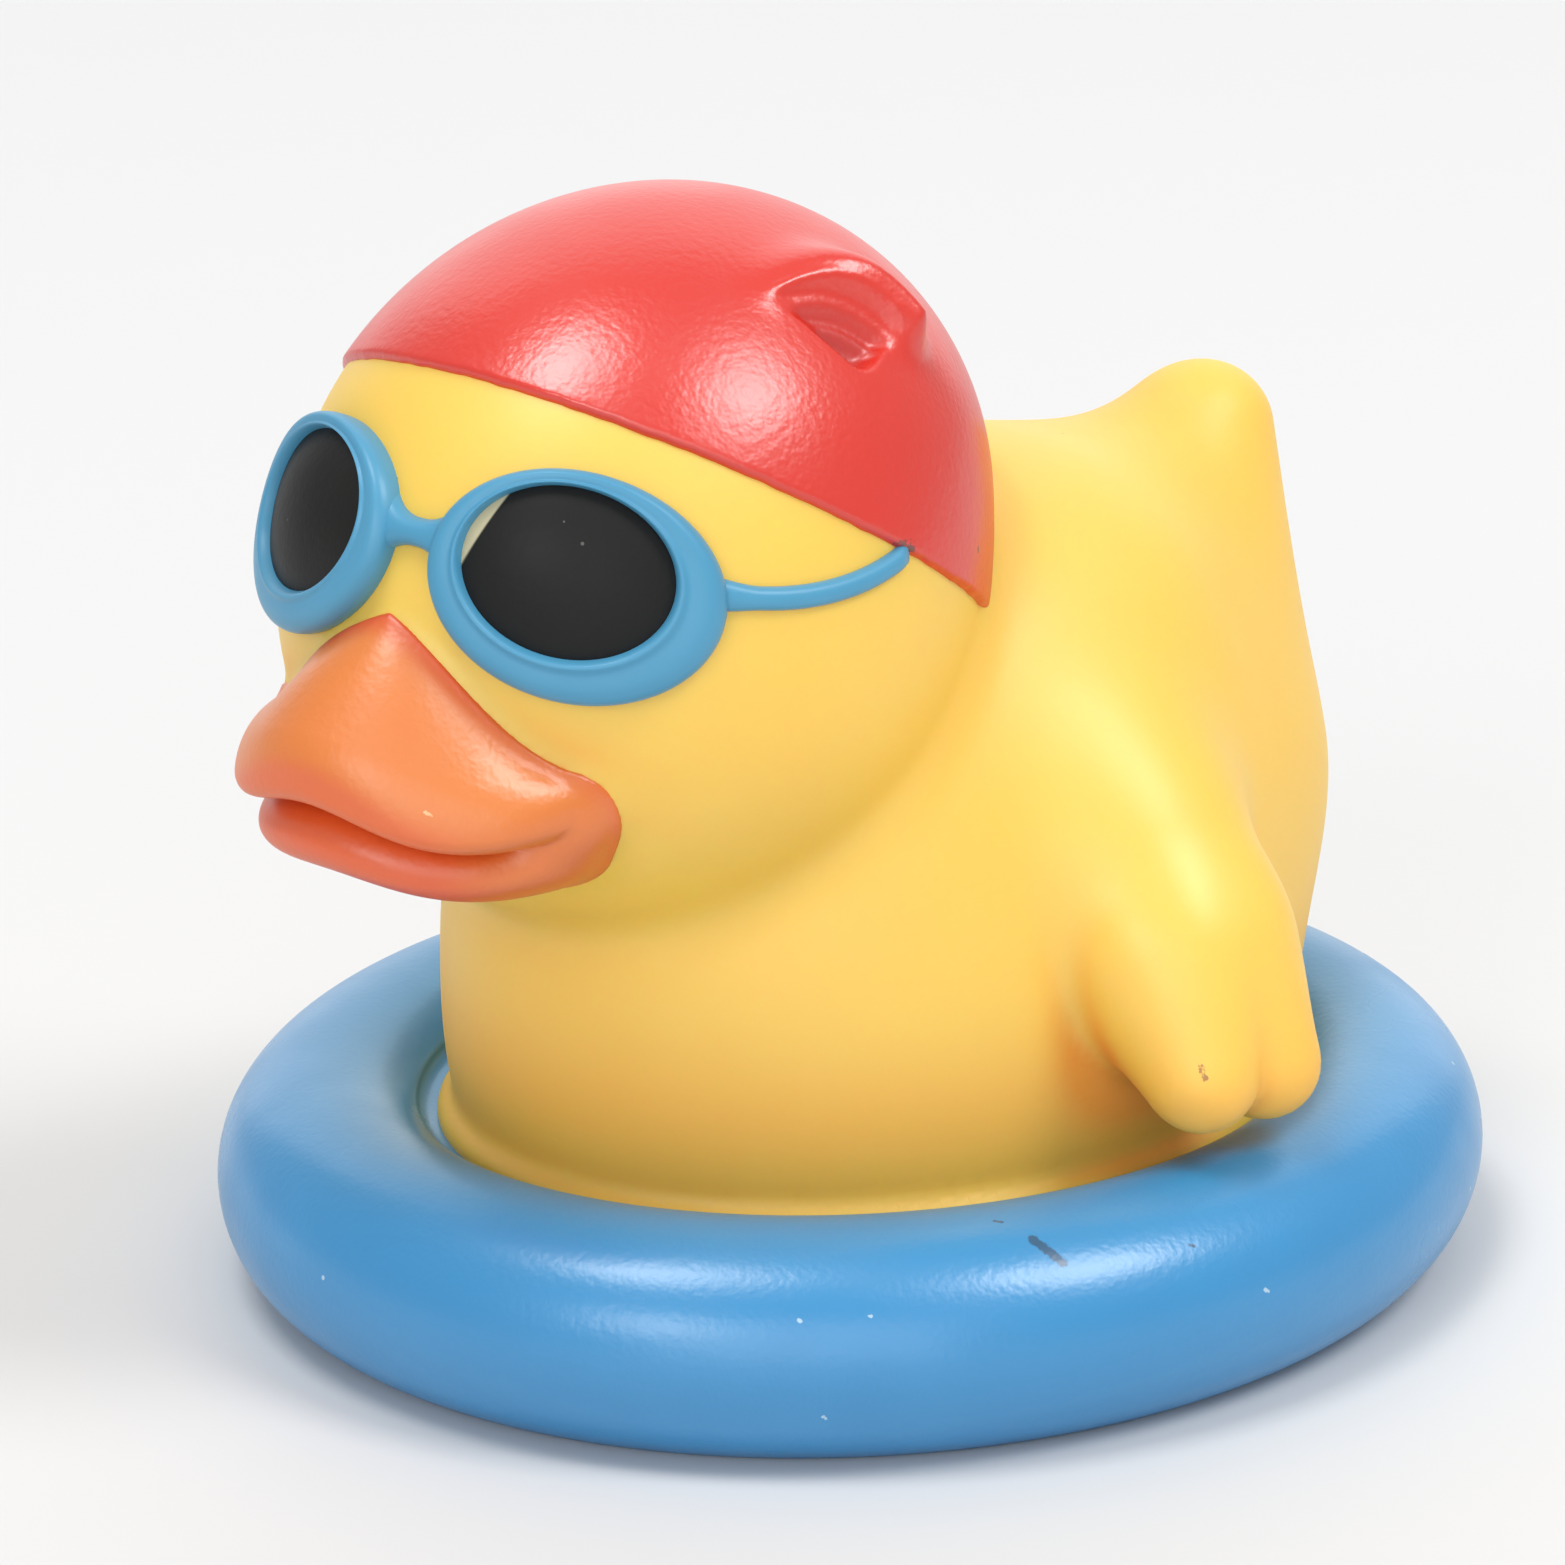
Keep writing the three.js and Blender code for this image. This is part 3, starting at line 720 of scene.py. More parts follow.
    def build(self, finish: "Finish") -> None:
        """Makes the cap on a polar grid.

        The row is the share of the way from the pole to the edge, where the outside drops in a
        quarter round below the skin. The last rows go back to the pole inside the head.

        Args:
            finish: Finish of the cap.
        """
        edge, band = self.edge()
        shares = np.concatenate([
            np.linspace(0.0, 1.0 - band, self.rows, endpoint=False),
            1.0 - band + band * np.sin(np.linspace(0.0, QUARTER, self.edge_rows)),
        ])
        into_edge = np.clip((shares - 1.0 + band) / band, 0.0, 1.0)
        drop = (self.thickness + self.edge_sink) * (1.0 - np.sqrt(1.0 - into_edge**2))
        back = np.linspace(1.0, 0.0, self.back_rows)[1:]
        rays = self.rays(np.concatenate([shares, back])[:, None] * edge)
        outside = self.head.reach(self.shape, rays[: len(shares)]) - drop[:, None]
        inner = self.head.reach(self.head.skull, rays[len(shares) :]) - self.inside
        skin = closed_grid(rays * np.concatenate([outside, inner])[..., None], Ends.POLES)
        # The hollow mark is painted shade: the red turns darker down in the fold's pocket.
        upper, lower, _, _ = self.fold_plan(skin.points)
        shade = smooth_step(-upper, *self.shade_reach)
        skin.marks["hollow"] = smooth_step(-lower, *self.side_wall) * shade
        self.head.add(skin, "swim_cap", finish.material(), Slot.CAP)


@dataclass(frozen=True)
class Goggles:
    """Two oval eyecups with dark lenses, a bridge, and a strap that ends under the cap."""

    head: Head
    turn: float = 3.8
    eye_azimuth: float = 26.5
    eye_elevation: float = 10.6
    eye_roll: float = -12.0
    frame_half: Pair = (11.3, 8.2)
    frame_lift: float = 1.95
    frame_columns: int = 200
    rise_rows: int = 7
    run_rows: int = 16
    fall_rows: int = 18
    crest_share: float = 0.52
    lip_share: float = 0.1
    lip_height: float = 0.3
    lip_width: float = 0.08
    flange_rise: float = 0.35
    flange_fullness: float = 0.8
    flange_sink: float = 0.15
    flange_tuck: float = 0.97
    root: float = 1.3
    lens_half: Pair = (7.6, 5.8)
    lens_inward: float = 0.9
    lens_upward: float = 0.9
    lens_lift: float = 1.15
    lens_dome: float = 0.6
    lens_bed: float = 0.2
    lens_overlap: float = 1.06
    lens_columns: int = 240
    lens_rows: int = 110
    under_rows: int = 6
    bare_angle: float = 167.0
    bare_chord: Pair = (0.86, 0.88)
    band_columns: int = 28
    band_power: float = 0.8
    strap_height: float = 1.7
    strap_lift: float = 0.75
    strap_span: Pair = (46.0, 85.5)
    strap_low: Pair = (63.0, 8.1)
    strap_rise: float = 0.0068
    strap_rows: int = 81
    strap_thinning: float = 0.5
    strap_thin_from: float = 82.5
    strap_spread: float = 0.4
    strap_spread_span: Pair = (47.0, 55.0)
    bridge_height: float = 2.1
    bridge_lift: float = 1.25
    bridge_half_span: float = 7.6
    bridge_elevation: float = 15.0
    bridge_flare: float = 2.4
    bridge_power: float = 2.5
    bridge_rows: int = 41

    def plan(self, side: Side, out: Array, angle: Array) -> Array:
        """Points of an eyecup's plan, in the plane that touches the skull at the eye.

        From 0 to 1 the distance out grows over the lens oval, and from 1 to 2 it runs from the lens
        oval to the frame oval.

        Args:
            side: Which eye.
            out: Distance out, from 0 to 2.
            angle: Angle round the oval, from the outer end upwards.

        Returns:
            The points, in the head's frame.
        """
        azimuth = self.turn + side.value * self.eye_azimuth
        outward = direction(azimuth, self.eye_elevation)
        level = direction(azimuth + 90.0, 0.0)
        upward = np.cross(outward, level)
        roll = side.value * math.radians(self.eye_roll)
        across = side.value * (level * math.cos(roll) + upward * math.sin(roll))
        above = upward * math.cos(roll) - level * math.sin(roll)
        share = np.clip(out - 1.0, 0.0, 1.0)
        inner = np.minimum(out, 1.0) * (1.0 - share)
        half_width = inner * self.lens_half[0] + self.frame_half[0] * share
        half_height = inner * self.lens_half[1] + self.frame_half[1] * share
        sideways = half_width * np.cos(angle) - self.lens_inward * (1.0 - share)
        upwards = half_height * np.sin(angle) + self.lens_upward * (1.0 - share)
        centre = self.head.laid(outward, 0.0)
        return centre + sideways[..., None] * across + upwards[..., None] * above

    def cup(self, side: Side, out: Array, lift: Array, angle: Array, ends: Ends) -> Surface:
        """Skin over an eyecup, from the distance out and the height of each row."""
        points = self.plan(side, out[:, None], angle)
        return closed_grid(self.head.laid(points, lift[:, None]), ends)

    def flange(self, share: Array | float) -> Array | float:
        """Height of the flange, which rises to its crest as a parabola of the share out."""
        return self.frame_lift - self.flange_rise * (1.0 - share / self.crest_share) ** 2

    def frame(self, side: Side) -> Surface:
        """A frame: a closed section carried round the oval.

        From the lens outwards it is a quarter oval up to a narrow lip, a bell curve on the flange,
        and then the flange, which rises to its crest and falls to the skin as a quarter oval.

        Args:
            side: Which eye.

        Returns:
            The closed frame.
        """
        rise = np.linspace(0.0, QUARTER, self.rise_rows)
        run = np.linspace(self.lip_share, self.crest_share, self.run_rows)[1:]
        fall = np.linspace(0.0, QUARTER, self.fall_rows)[1:]
        bed = self.lens_lift - self.lens_bed
        lip = self.flange(self.lip_share) + self.lip_height
        drop = (self.frame_lift + self.flange_sink) * np.cos(fall) ** self.flange_fullness
        share = np.concatenate([
            [0.0],
            self.lip_share * (1.0 - np.cos(rise)),
            run,
            self.crest_share + (1.0 - self.crest_share) * np.sin(fall),
            [self.flange_tuck],
        ])
        lift = np.concatenate([
            [-self.root],
            bed + (lip - bed) * np.sin(rise),
            self.flange(run) + self.lip_height * bell(run - self.lip_share, self.lip_width),
            drop - self.flange_sink,
            [-self.root],
        ])
        return self.cup(side, 1.0 + share, lift, turn_angles(self.frame_columns), Ends.LOOP)

    def lens(self, side: Side) -> Surface:
        """A lens: a grid over the lens oval, domed by a share of 1 - out^2, closed under the skin.

        On the left lens the black stops short of the frame along a chord, where vinyl shows.

        Args:
            side: Which eye.

        Returns:
            The closed lens, with the share of bare vinyl at each point.
        """
        angle = turn_angles(self.lens_columns)
        top = np.linspace(0.0, self.lens_overlap, self.lens_rows)
        under = np.linspace(self.lens_overlap, 0.0, self.under_rows)
        out = np.concatenate([top, under])
        dome = self.lens_lift + self.lens_dome * (1.0 - top**2)
        lift = np.concatenate([dome, np.full(len(under), -self.root)])
        skin = self.cup(side, out, lift, angle, Ends.POLES)
        chord = out[:, None] * np.cos(angle - math.radians(self.bare_angle))
        bare = smooth_step(chord, *self.bare_chord) * (side is Side.LEFT)
        skin.marks["bare"] = np.concatenate([bare[0, :1], bare[1:-1].ravel(), bare[-1, :1]])
        return skin

    def band(self, azimuth: Array, elevation: Array, half_height: Array, lift: Array) -> Surface:
        """A band: an oval section carried along a line on the skull, half sunk below the skin.

        Args:
            azimuth: Degrees round the head from the goggles' middle, one for each row.
            elevation: Degrees above level for each row.
            half_height: Half of the band's height for each row.
            lift: How far it stands out for each row.

        Returns:
            The closed band.
        """
        angle = turn_angles(self.band_columns)
        line = self.head.laid(direction(azimuth + self.turn, elevation), 0.0)
        across = np.sign(np.cos(angle)) * np.abs(np.cos(angle)) ** self.band_power
        upwards = as_points(0.0, 0.0, half_height[:, None] * across)
        raised = np.where(np.sin(angle) > 0.0, lift[:, None], self.root) * np.sin(angle)
        return closed_grid(self.head.laid(line[:, None, :] + upwards, raised), Ends.POLES)

    def bridge(self) -> Surface:
        """The bridge: a band whose height grows as a power of the distance from its middle.

        Returns:
            The closed bridge.
        """
        share = np.linspace(-1.0, 1.0, self.bridge_rows)
        flare = 1.0 + self.bridge_flare * np.abs(share) ** self.bridge_power
        lift = np.full_like(share, self.bridge_lift)
        elevation = np.full_like(share, self.bridge_elevation)
        half_height = self.bridge_height / 2.0 * flare
        return self.band(share * self.bridge_half_span, elevation, half_height, lift)

    def strap(self, side: Side) -> Surface:
        """Half of the strap: a band whose elevation is a parabola of the azimuth.

        It is wider at the frame and thinner under the cap.

        Args:
            side: Which half.

        Returns:
            The closed half.
        """
        azimuth = np.linspace(*self.strap_span, self.strap_rows)
        elevation = self.strap_low[1] + self.strap_rise * (azimuth - self.strap_low[0]) ** 2
        under_cap = smooth_step(azimuth, self.strap_thin_from, self.strap_span[1])
        lift = self.strap_lift * (1.0 - self.strap_thinning * under_cap)
        near, far = self.strap_spread_span
        spread = 1.0 + self.strap_spread * smooth_step(-azimuth, -far, -near)
        return self.band(side.value * azimuth, elevation, self.strap_height / 2.0 * spread, lift)

    def build(self, finish: "Finish", lens_finish: "Finish") -> None:
        """Makes the bridge, and the frame, strap and lens of each side.

        Args:
            finish: Finish of all but the lenses.
            lens_finish: Finish of the lenses.
        """
        blue, black = finish.material(), lens_finish.material()
        self.head.add(self.bridge(), "goggle_bridge", blue, Slot.GOGGLES)
        for side in Side:
            name = side.name.lower()
            self.head.add(self.frame(side), f"goggle_frame_{name}", blue, Slot.GOGGLES)
            self.head.add(self.strap(side), f"goggle_strap_{name}", blue, Slot.GOGGLES)
            self.head.add(self.lens(side), f"goggle_lens_{name}", black, Slot.LENS)


@dataclass(frozen=True)
class Bill:
    """The bill: a roof-shaped upper half over a lower lip that runs up into smiling corners."""

    head: Head
    apex: Vec = (0.9, -28.3, 1.3)
    rim_centre: Vec = (0.0, -21.5, -7.3)
    rim_radii: Pair = (15.0, 15.0)
    fullness: float = 0.9
    least_fall: float = 1e-4
    rim_turn: float = 0.15
    rim_round: float = 1.6
    rim_sag: float = 2.4
    side_scale: float = 9.0
    mouth_z: float = -11.4
    mouth_sag: float = 2.3
    sag_half: float = 11.0
    sag_end: float = 1.6
    lip_centre: Vec = (0.0, -21.0, -14.5)
    lip_radii: Vec = (13.2, 14.2, 4.4)
    lip_sag: float = 1.4
    corner_centre: Vec = (12.2, -21.8, -11.6)
    corner_radii: Vec = (3.3, 3.9, 3.7)
    corner_fillet: float = 4.0
    mouth_fillet: float = 0.2
    root_fillet: float = 1.6
    paint: float = 0.12
    paint_dive: float = 1.0
    paint_dive_mask: Pair = (-0.3, 0.7)
    paint_overlap: float = 1.5
    under_paint: float = 0.5
    under_paint_mask: Pair = (0.2, 1.2)
    # A redder band at the root; painted shade on the rim face and on the lower lip under the upper
    # half.
    middle_half: Pair = (8.0, 12.5)
    root_red: Pair = (0.3, 2.2)
    root_red_z: Pair = (-9.0, -1.0)
    root_red_low: float = 0.45
    rim_shade: float = 0.6
    rim_shade_fall: Pair = (0.98, 1.2)
    rim_shade_side: float = 0.3
    lip_shade: float = 0.8
    lip_shade_gap: Pair = (-0.3, 0.3)
    lip_shade_side: float = 0.25
    core: Vec = (0.0, -27.0, -10.9)
    rough_radii: Vec = (15.0, 15.0, 11.0)
    longest: float = 90.0
    rows: int = 300
    columns: int = 320

    def sag(self, points: Array) -> Array:
        """Share by which mouth and rim hang: the squared sine of X, 1 at sag_half."""
        across = np.minimum(np.abs(points[..., 0]) / self.sag_half, self.sag_end)
        return np.sin(QUARTER * across) ** 2

    def fall(self, points: Array) -> Array:
        """Way down from apex to rim, 0 to 1, with the rim's hang taken off in proportion."""
        height = self.apex[2] - self.rim_centre[2]
        level = (self.apex[2] - points[..., 2]) / height
        return level - self.rim_sag * self.sag(points) * np.maximum(level, 0.0) / height

    def upper(self, points: Array) -> Array:
        """Field of the upper half: a cone from the apex to an oval rim, cut off by the mouth.

        At a share s of the way down, the section is the rim's oval scaled by s to the power of the
        fullness, and its centre is on the line from the apex to the rim's centre. Below the rim the
        section stays as it is.

        Args:
            points: Points in the head's frame.

        Returns:
            The field there.
        """
        fall = self.fall(points)
        full = np.ones_like(fall)
        held = blend(np.maximum(fall, 0.0), full, self.rim_turn)
        scale = blend(np.maximum(fall, self.least_fall) ** self.fullness, full, self.rim_turn)
        across, along = (
            (points[..., axis] - self.apex[axis] - (self.rim_centre[axis] - self.apex[axis]) * held)
            / self.rim_radii[axis]
            for axis in (0, 1)
        )
        above = np.maximum(-fall, 0.0) * (self.apex[2] - self.rim_centre[2])
        side = (np.hypot(across, along) - scale) * self.side_scale + above
        mouth = self.mouth_z - self.mouth_sag * self.sag(points) - points[..., 2]
        return -blend(-side, -mouth, self.rim_round)

    def lower(self, points: Array) -> Array:
        """Field of the lower lip, an ellipsoid that hangs at the sides, with its two corners."""
        hung = points + as_points(0.0, 0.0, self.lip_sag * self.sag(points))
        corner = ellipsoid(mirrored(points), self.corner_centre, self.corner_radii)
        return blend(ellipsoid(hung, self.lip_centre, self.lip_radii), corner, self.corner_fillet)

    def form(self, points: Array) -> Array:
        """Field of both halves, with a sharp crease between them at the mouth."""
        return blend(self.upper(points), self.lower(points), self.mouth_fillet)

    def rooted(self, points: Array) -> Array:
        """Field of the bare head with the bill filleted into the face."""
        return blend(self.head.skull(points), self.form(points), self.root_fillet)

    def mask(self, points: Array) -> Array:
        """Field of the spray mask's opening, which ends in the crease between bill and face."""
        return self.form(points) - self.head.skull(points)

    def bare(self, points: Array) -> Array:
        """Field of the rooted bill for the yellow skin, which lies deeper where paint covers it."""
        covered = smooth_step(-self.mask(points), *self.under_paint_mask)
        return self.rooted(points) + self.under_paint * covered

    def painted(self, points: Array) -> Array:
        """Field of the paint: the rooted bill, thicker, diving under the yellow past the mask."""
        mask = self.mask(points)
        dive = self.paint_dive * smooth_step(mask, *self.paint_dive_mask)
        return np.maximum(self.rooted(points) - self.paint + dive, mask - self.paint_overlap)

    def red_root_and_shade_share(self, points: Array) -> Array:
        """How much redder the paint is near the root, and how much painted shade lies on the rim
        face and on the lower lip under the upper half.

        Args:
            points: Points in the head's frame.

        Returns:
            A share of 0 to 1 at each point, the largest of the three.
        """
        middle = 1.0 - smooth_step(np.abs(points[..., 0]), *self.middle_half)
        root = 1.0 - smooth_step(self.head.skull(points), *self.root_red)
        root *= at_least(self.root_red_low, smooth_step(points[..., 2], *self.root_red_z))
        rim = self.rim_shade * smooth_step(self.fall(points), *self.rim_shade_fall)
        rim *= at_least(self.rim_shade_side, middle)
        gap = self.upper(points) - self.lower(points)
        lip = self.lip_shade * smooth_step(gap, *self.lip_shade_gap)
        lip *= at_least(self.lip_shade_side, middle)
        return np.maximum(np.maximum(root, rim), lip)

    def build(self, finish: "Finish") -> None:
        """Makes the orange piece on a grid of rays from its core, each of which leaves it once.

        A point is the core plus reach(ray) * ray. The ray goes round with the column and from pole
        to pole with the row, stretched by rough radii so that the grid lies evenly.

        Args:
            finish: Finish of the bill.
        """
        polar, around = np.linspace(0.0, math.pi, self.rows)[:, None], turn_angles(self.columns)
        out = np.sin(polar)
        ball = as_points(out * np.cos(around), out * np.sin(around), np.cos(polar))
        rays = unit(ball * self.rough_radii)
        reach = reach_along(self.painted, self.core, rays, self.longest)
        skin = closed_grid(self.core + rays * reach[..., None], Ends.POLES)
        # The edge mark: a redder band at the root, and painted shade on the rim face and the lower
        # lip.
        skin.marks["edge"] = self.red_root_and_shade_share(skin.points)
        self.head.add(skin, "bill", finish.material(), Slot.BILL)


@dataclass(frozen=True)
class SwimRing:
    """The blue ring: an oval tube with a flat foot, its hole closed by a web with a vent."""

    half: Pair = (38.2, 42.8)
    tube_half_width: float = 8.8
    tube_half_height: float = 8.75
    flat_depth: float = 0.8
    web_top: float = 12.4
    web_fillet: float = 1.2
    vent_radius: float = 1.6
    vent_centre: Pair = (0.0, 14.0)
    vent_depth: float = 2.0
    columns: int = 420
    tube_rows: int = 110
    fillet_rows: int = 8
    web_rows: int = 7
    base_rows: int = 13

    def section(self) -> tuple[Array, Array]:
        """Section of the tube, from the web over the top to the flat: a quarter round and an oval.

        Returns:
            Offsets from the tube's centreline, and heights.
        """
        centre = self.tube_half_height - self.flat_depth
        start = math.asin((self.web_top + self.web_fillet - centre) / self.tube_half_height)
        flat = math.asin(centre / self.tube_half_height)
        angle = np.linspace(math.pi - start, -flat, self.tube_rows)
        offset = self.tube_half_width * np.cos(angle)
        height = centre + self.tube_half_height * np.sin(angle)
        sweep = np.linspace(0.0, QUARTER, self.fillet_rows, endpoint=False)
        fillet_offset = offset[0] - self.web_fillet * (1.0 - np.sin(sweep))
        fillet_height = self.web_top + self.web_fillet * (1.0 - np.cos(sweep))
        return np.concatenate([fillet_offset, offset]), np.concatenate([fillet_height, height])

    def build(self, finish: "Finish") -> None:
        """Makes the ring on a grid of a profile carried round the oval.

        A tube point is the oval's point plus the offset along its normal. Web and base rows shrink
        that outline by a share: the web's to the centre, the base's to the vent, up which it goes.

        Args:
            finish: Finish of the ring.
        """
        angle = turn_angles(self.columns)
        circle = as_points(np.cos(angle), np.sin(angle))
        offset, height = self.section()
        normal = unit(circle / self.half)
        tube = circle * self.half + offset[:, None, None] * normal
        web = tube[:1] * np.linspace(0.0, 1.0, self.web_rows, endpoint=False)[:, None, None]
        vent = self.vent_centre + self.vent_radius * circle
        share = np.linspace(0.0, 1.0, self.base_rows + 1)[1:, None, None]
        base = tube[-1:] * (1.0 - share) + vent * share
        hole = np.stack([vent, np.broadcast_to(self.vent_centre, vent.shape)])
        outline = np.concatenate([web, tube, base, hole])
        level = np.concatenate([
            np.full(len(web), self.web_top),
            height,
            np.zeros(len(base)),
            np.full(len(hole), self.vent_depth),
        ])
        grid = as_points(outline[..., 0], outline[..., 1], level[:, None])
        closed_grid(grid, Ends.POLES).to_object("swim_ring", finish.material(), Slot.RING)


# Finishes


@dataclass
class NodeSketch:
    """Adds and links nodes in a node tree."""

    tree: bpy.types.NodeTree

    def feed(self, value: Value, target: Socket) -> None:
        """Links a socket to an input, or sets a number, a vector or a colour there.

        Args:
            value: What the input gets.
            target: The input.
        """
        if isinstance(value, Socket):
            self.tree.links.new(value, target)
        else:
            target.default_value = (*value, 1.0) if target.type == "RGBA" else value

    def node(self, kind: str, values: dict[str | int, Value], **settings: object) -> bpy.types.Node:
        """Adds a node.

        Args:
            kind: Type of the node.
            values: What its inputs get, by name or number.
            settings: Its options, by name.

        Returns:
            The node.
        """
        made = self.tree.nodes.new(kind)
        for name, setting in settings.items():
            setattr(made, name, setting)
        for name, value in values.items():
            self.feed(value, made.inputs[name])
        return made

    def surface(self, values: dict[str, Value]) -> None:
        """Feeds the inputs of the material's own surface shader."""
        for name, value in values.items():
            self.feed(value, self.tree.nodes["Principled BSDF"].inputs[name])

    def math(self, operation: str, first: Socket, second: Value, clamp: bool = False) -> Socket:
        """Result of a sum on two values."""
        values = {0: first, 1: second}
        return self.node("ShaderNodeMath", values, operation=operation, use_clamp=clamp).outputs[0]

    def vector(self, operation: str, values: dict[str | int, Value]) -> Sockets:
        """Outputs of a vector sum: Vector, or Value for a distance or a dot product."""
        return self.node("ShaderNodeVectorMath", values, operation=operation).outputs

    def ramp(self, value: Socket, limits: Pair, results: Pair = (0.0, 1.0)) -> Socket:
        """Spreads a value smoothly from between two limits to between two results.

        Args:
            value: The value.
            limits: Where the change starts and ends.
            results: What comes out there.

        Returns:
            The result's socket.
        """
        values = {"Value": value, "From Min": limits[0], "From Max": limits[1]}
        values |= {"To Min": results[0], "To Max": results[1]}
        made = self.node("ShaderNodeMapRange", values, interpolation_type="SMOOTHSTEP")
        return made.outputs["Result"]

    def mix(self, share: Socket, first: Value, second: Value) -> Socket:
        """A mix of two colours."""
        values = {0: share, 6: first, 7: second}
        return self.node("ShaderNodeMix", values, data_type="RGBA").outputs[2]

    def noise(self, place: Socket, scale: Value, detail: float, roughness: float = 0.5) -> Socket:
        """A smooth noise."""
        values = {"Vector": place, "Scale": scale, "Detail": detail, "Roughness": roughness}
        return self.node("ShaderNodeTexNoise", values).outputs["Fac"]

    def mark(self, name: str) -> Socket:
        """A named value of the skin."""
        return self.node("ShaderNodeAttribute", {}, attribute_name=name).outputs["Fac"]

    def effect(self, effect: "Effect", place: Socket, values: dict[str, Value]) -> Sockets:
        """Outputs of a shared effect placed here with its own values."""
        values = {"Vector": place, **values}
        return self.node("ShaderNodeGroup", values, node_tree=effect.tree()).outputs


class Effect:
    """A shader node group that finishes share; it takes a place and gives colours or masks."""

    name = ""
    inputs: dict[str, Kind] = {}
    outputs: dict[str, Kind] = {}

    def draw(self, sketch: NodeSketch, given: Sockets, result: Sockets) -> None:
        """Fills the group, in each effect's own way.

        Args:
            sketch: Nodes of the group.
            given: Its inputs.
            result: Its outputs.
        """

    def tree(self) -> bpy.types.NodeTree:
        """The group, built when it is first asked for.

        Returns:
            The group's node tree.
        """
        found = bpy.data.node_groups.get(self.name)
        if found is not None:
            return found
        made = bpy.data.node_groups.new(self.name, "ShaderNodeTree")
        for label, kind in {"Vector": Kind.VECTOR, **self.inputs}.items():
            made.interface.new_socket(label, in_out="INPUT", socket_type=kind.value)
        for label, kind in self.outputs.items():
            made.interface.new_socket(label, in_out="OUTPUT", socket_type=kind.value)
        sketch = NodeSketch(made)
        ends = sketch.node("NodeGroupInput", {}), sketch.node("NodeGroupOutput", {})
        self.draw(sketch, ends[0].outputs, ends[1].inputs)
        return made


class OrangePeel(Effect):
    """Fine ripples of sprayed paint over broader unevenness, as a height."""

    name = "orange_peel"
    inputs = {"Scale": Kind.VALUE}
    outputs = {"Height": Kind.VALUE}
    broad_scale = 260.0
    broad_share = 0.5

    def draw(self, sketch: NodeSketch, given: Sockets, result: Sockets) -> None:
        """Adds a share of the broad noise to the fine one.

        Args:
            sketch: Nodes of the group.
            given: Its inputs.
            result: Its outputs.
        """
        fine = sketch.noise(given["Vector"], given["Scale"], detail=1.0, roughness=0.55)
        broad = sketch.noise(given["Vector"], self.broad_scale, detail=0.0)
        share = sketch.math("MULTIPLY", broad, self.broad_share)
        sketch.feed(sketch.math("ADD", fine, share), result["Height"])


class Mottling(Effect):
    """Slow change between two colours, as paint and vinyl have."""

    name = "mottling"
    inputs = {"Scale": Kind.VALUE, "Light": Kind.COLOUR, "Deep": Kind.COLOUR}
    outputs = {"Colour": Kind.COLOUR, "Share": Kind.VALUE}
    limits = (0.3, 0.7)

    def draw(self, sketch: NodeSketch, given: Sockets, result: Sockets) -> None:
        """Mixes the colours by a noise spread between two limits.

        Args:
            sketch: Nodes of the group.
            given: Its inputs.
            result: Its outputs.
        """
        noise = sketch.noise(given["Vector"], given["Scale"], detail=2.0, roughness=0.6)
        share = sketch.ramp(noise, self.limits)
        sketch.feed(sketch.mix(share, given["Light"], given["Deep"]), result["Colour"])
        sketch.feed(share, result["Share"])


class Spot(Effect):
    """A ragged mark round a line from a start to an end, as a mask."""

    name = "spot"
    inputs = {"Start": Kind.VECTOR, "End": Kind.VECTOR, "Radius": Kind.VALUE, "Grain": Kind.VALUE,
              "Ragged": Kind.VALUE}
    outputs = {"Mask": Kind.VALUE}
    least_length = 1e-10
    grain_middle = 0.5
    grain_strength = 3.0
    limits = (1.0, 0.6)

    def draw(self, sketch: NodeSketch, given: Sockets, result: Sockets) -> None:
        """Fades with the distance from the line over the radius, to which the grain adds.

        Args:
            sketch: Nodes of the group.
            given: Its inputs.
            result: Its outputs.
        """
        start = given["Start"]
        offset = sketch.vector("SUBTRACT", {0: given["Vector"], 1: start})["Vector"]
        axis = sketch.vector("SUBTRACT", {0: given["End"], 1: start})["Vector"]
        square = sketch.vector("DOT_PRODUCT", {0: axis, 1: axis})["Value"]
        length = sketch.math("MAXIMUM", square, self.least_length)
        along = sketch.vector("DOT_PRODUCT", {0: offset, 1: axis})["Value"]
        share = sketch.math("DIVIDE", along, length, clamp=True)
        nearest = sketch.vector("SCALE", {0: axis, "Scale": share})["Vector"]
        away = sketch.vector("DISTANCE", {0: offset, 1: nearest})["Value"]
        ratio = sketch.math("DIVIDE", away, given["Radius"])
        grain = sketch.math("SUBTRACT", given["Grain"], self.grain_middle)
        rough = sketch.math("MULTIPLY", grain, given["Ragged"])
        rough = sketch.math("MULTIPLY", rough, self.grain_strength)
        sketch.feed(sketch.ramp(sketch.math("ADD", ratio, rough), self.limits), result["Mask"])


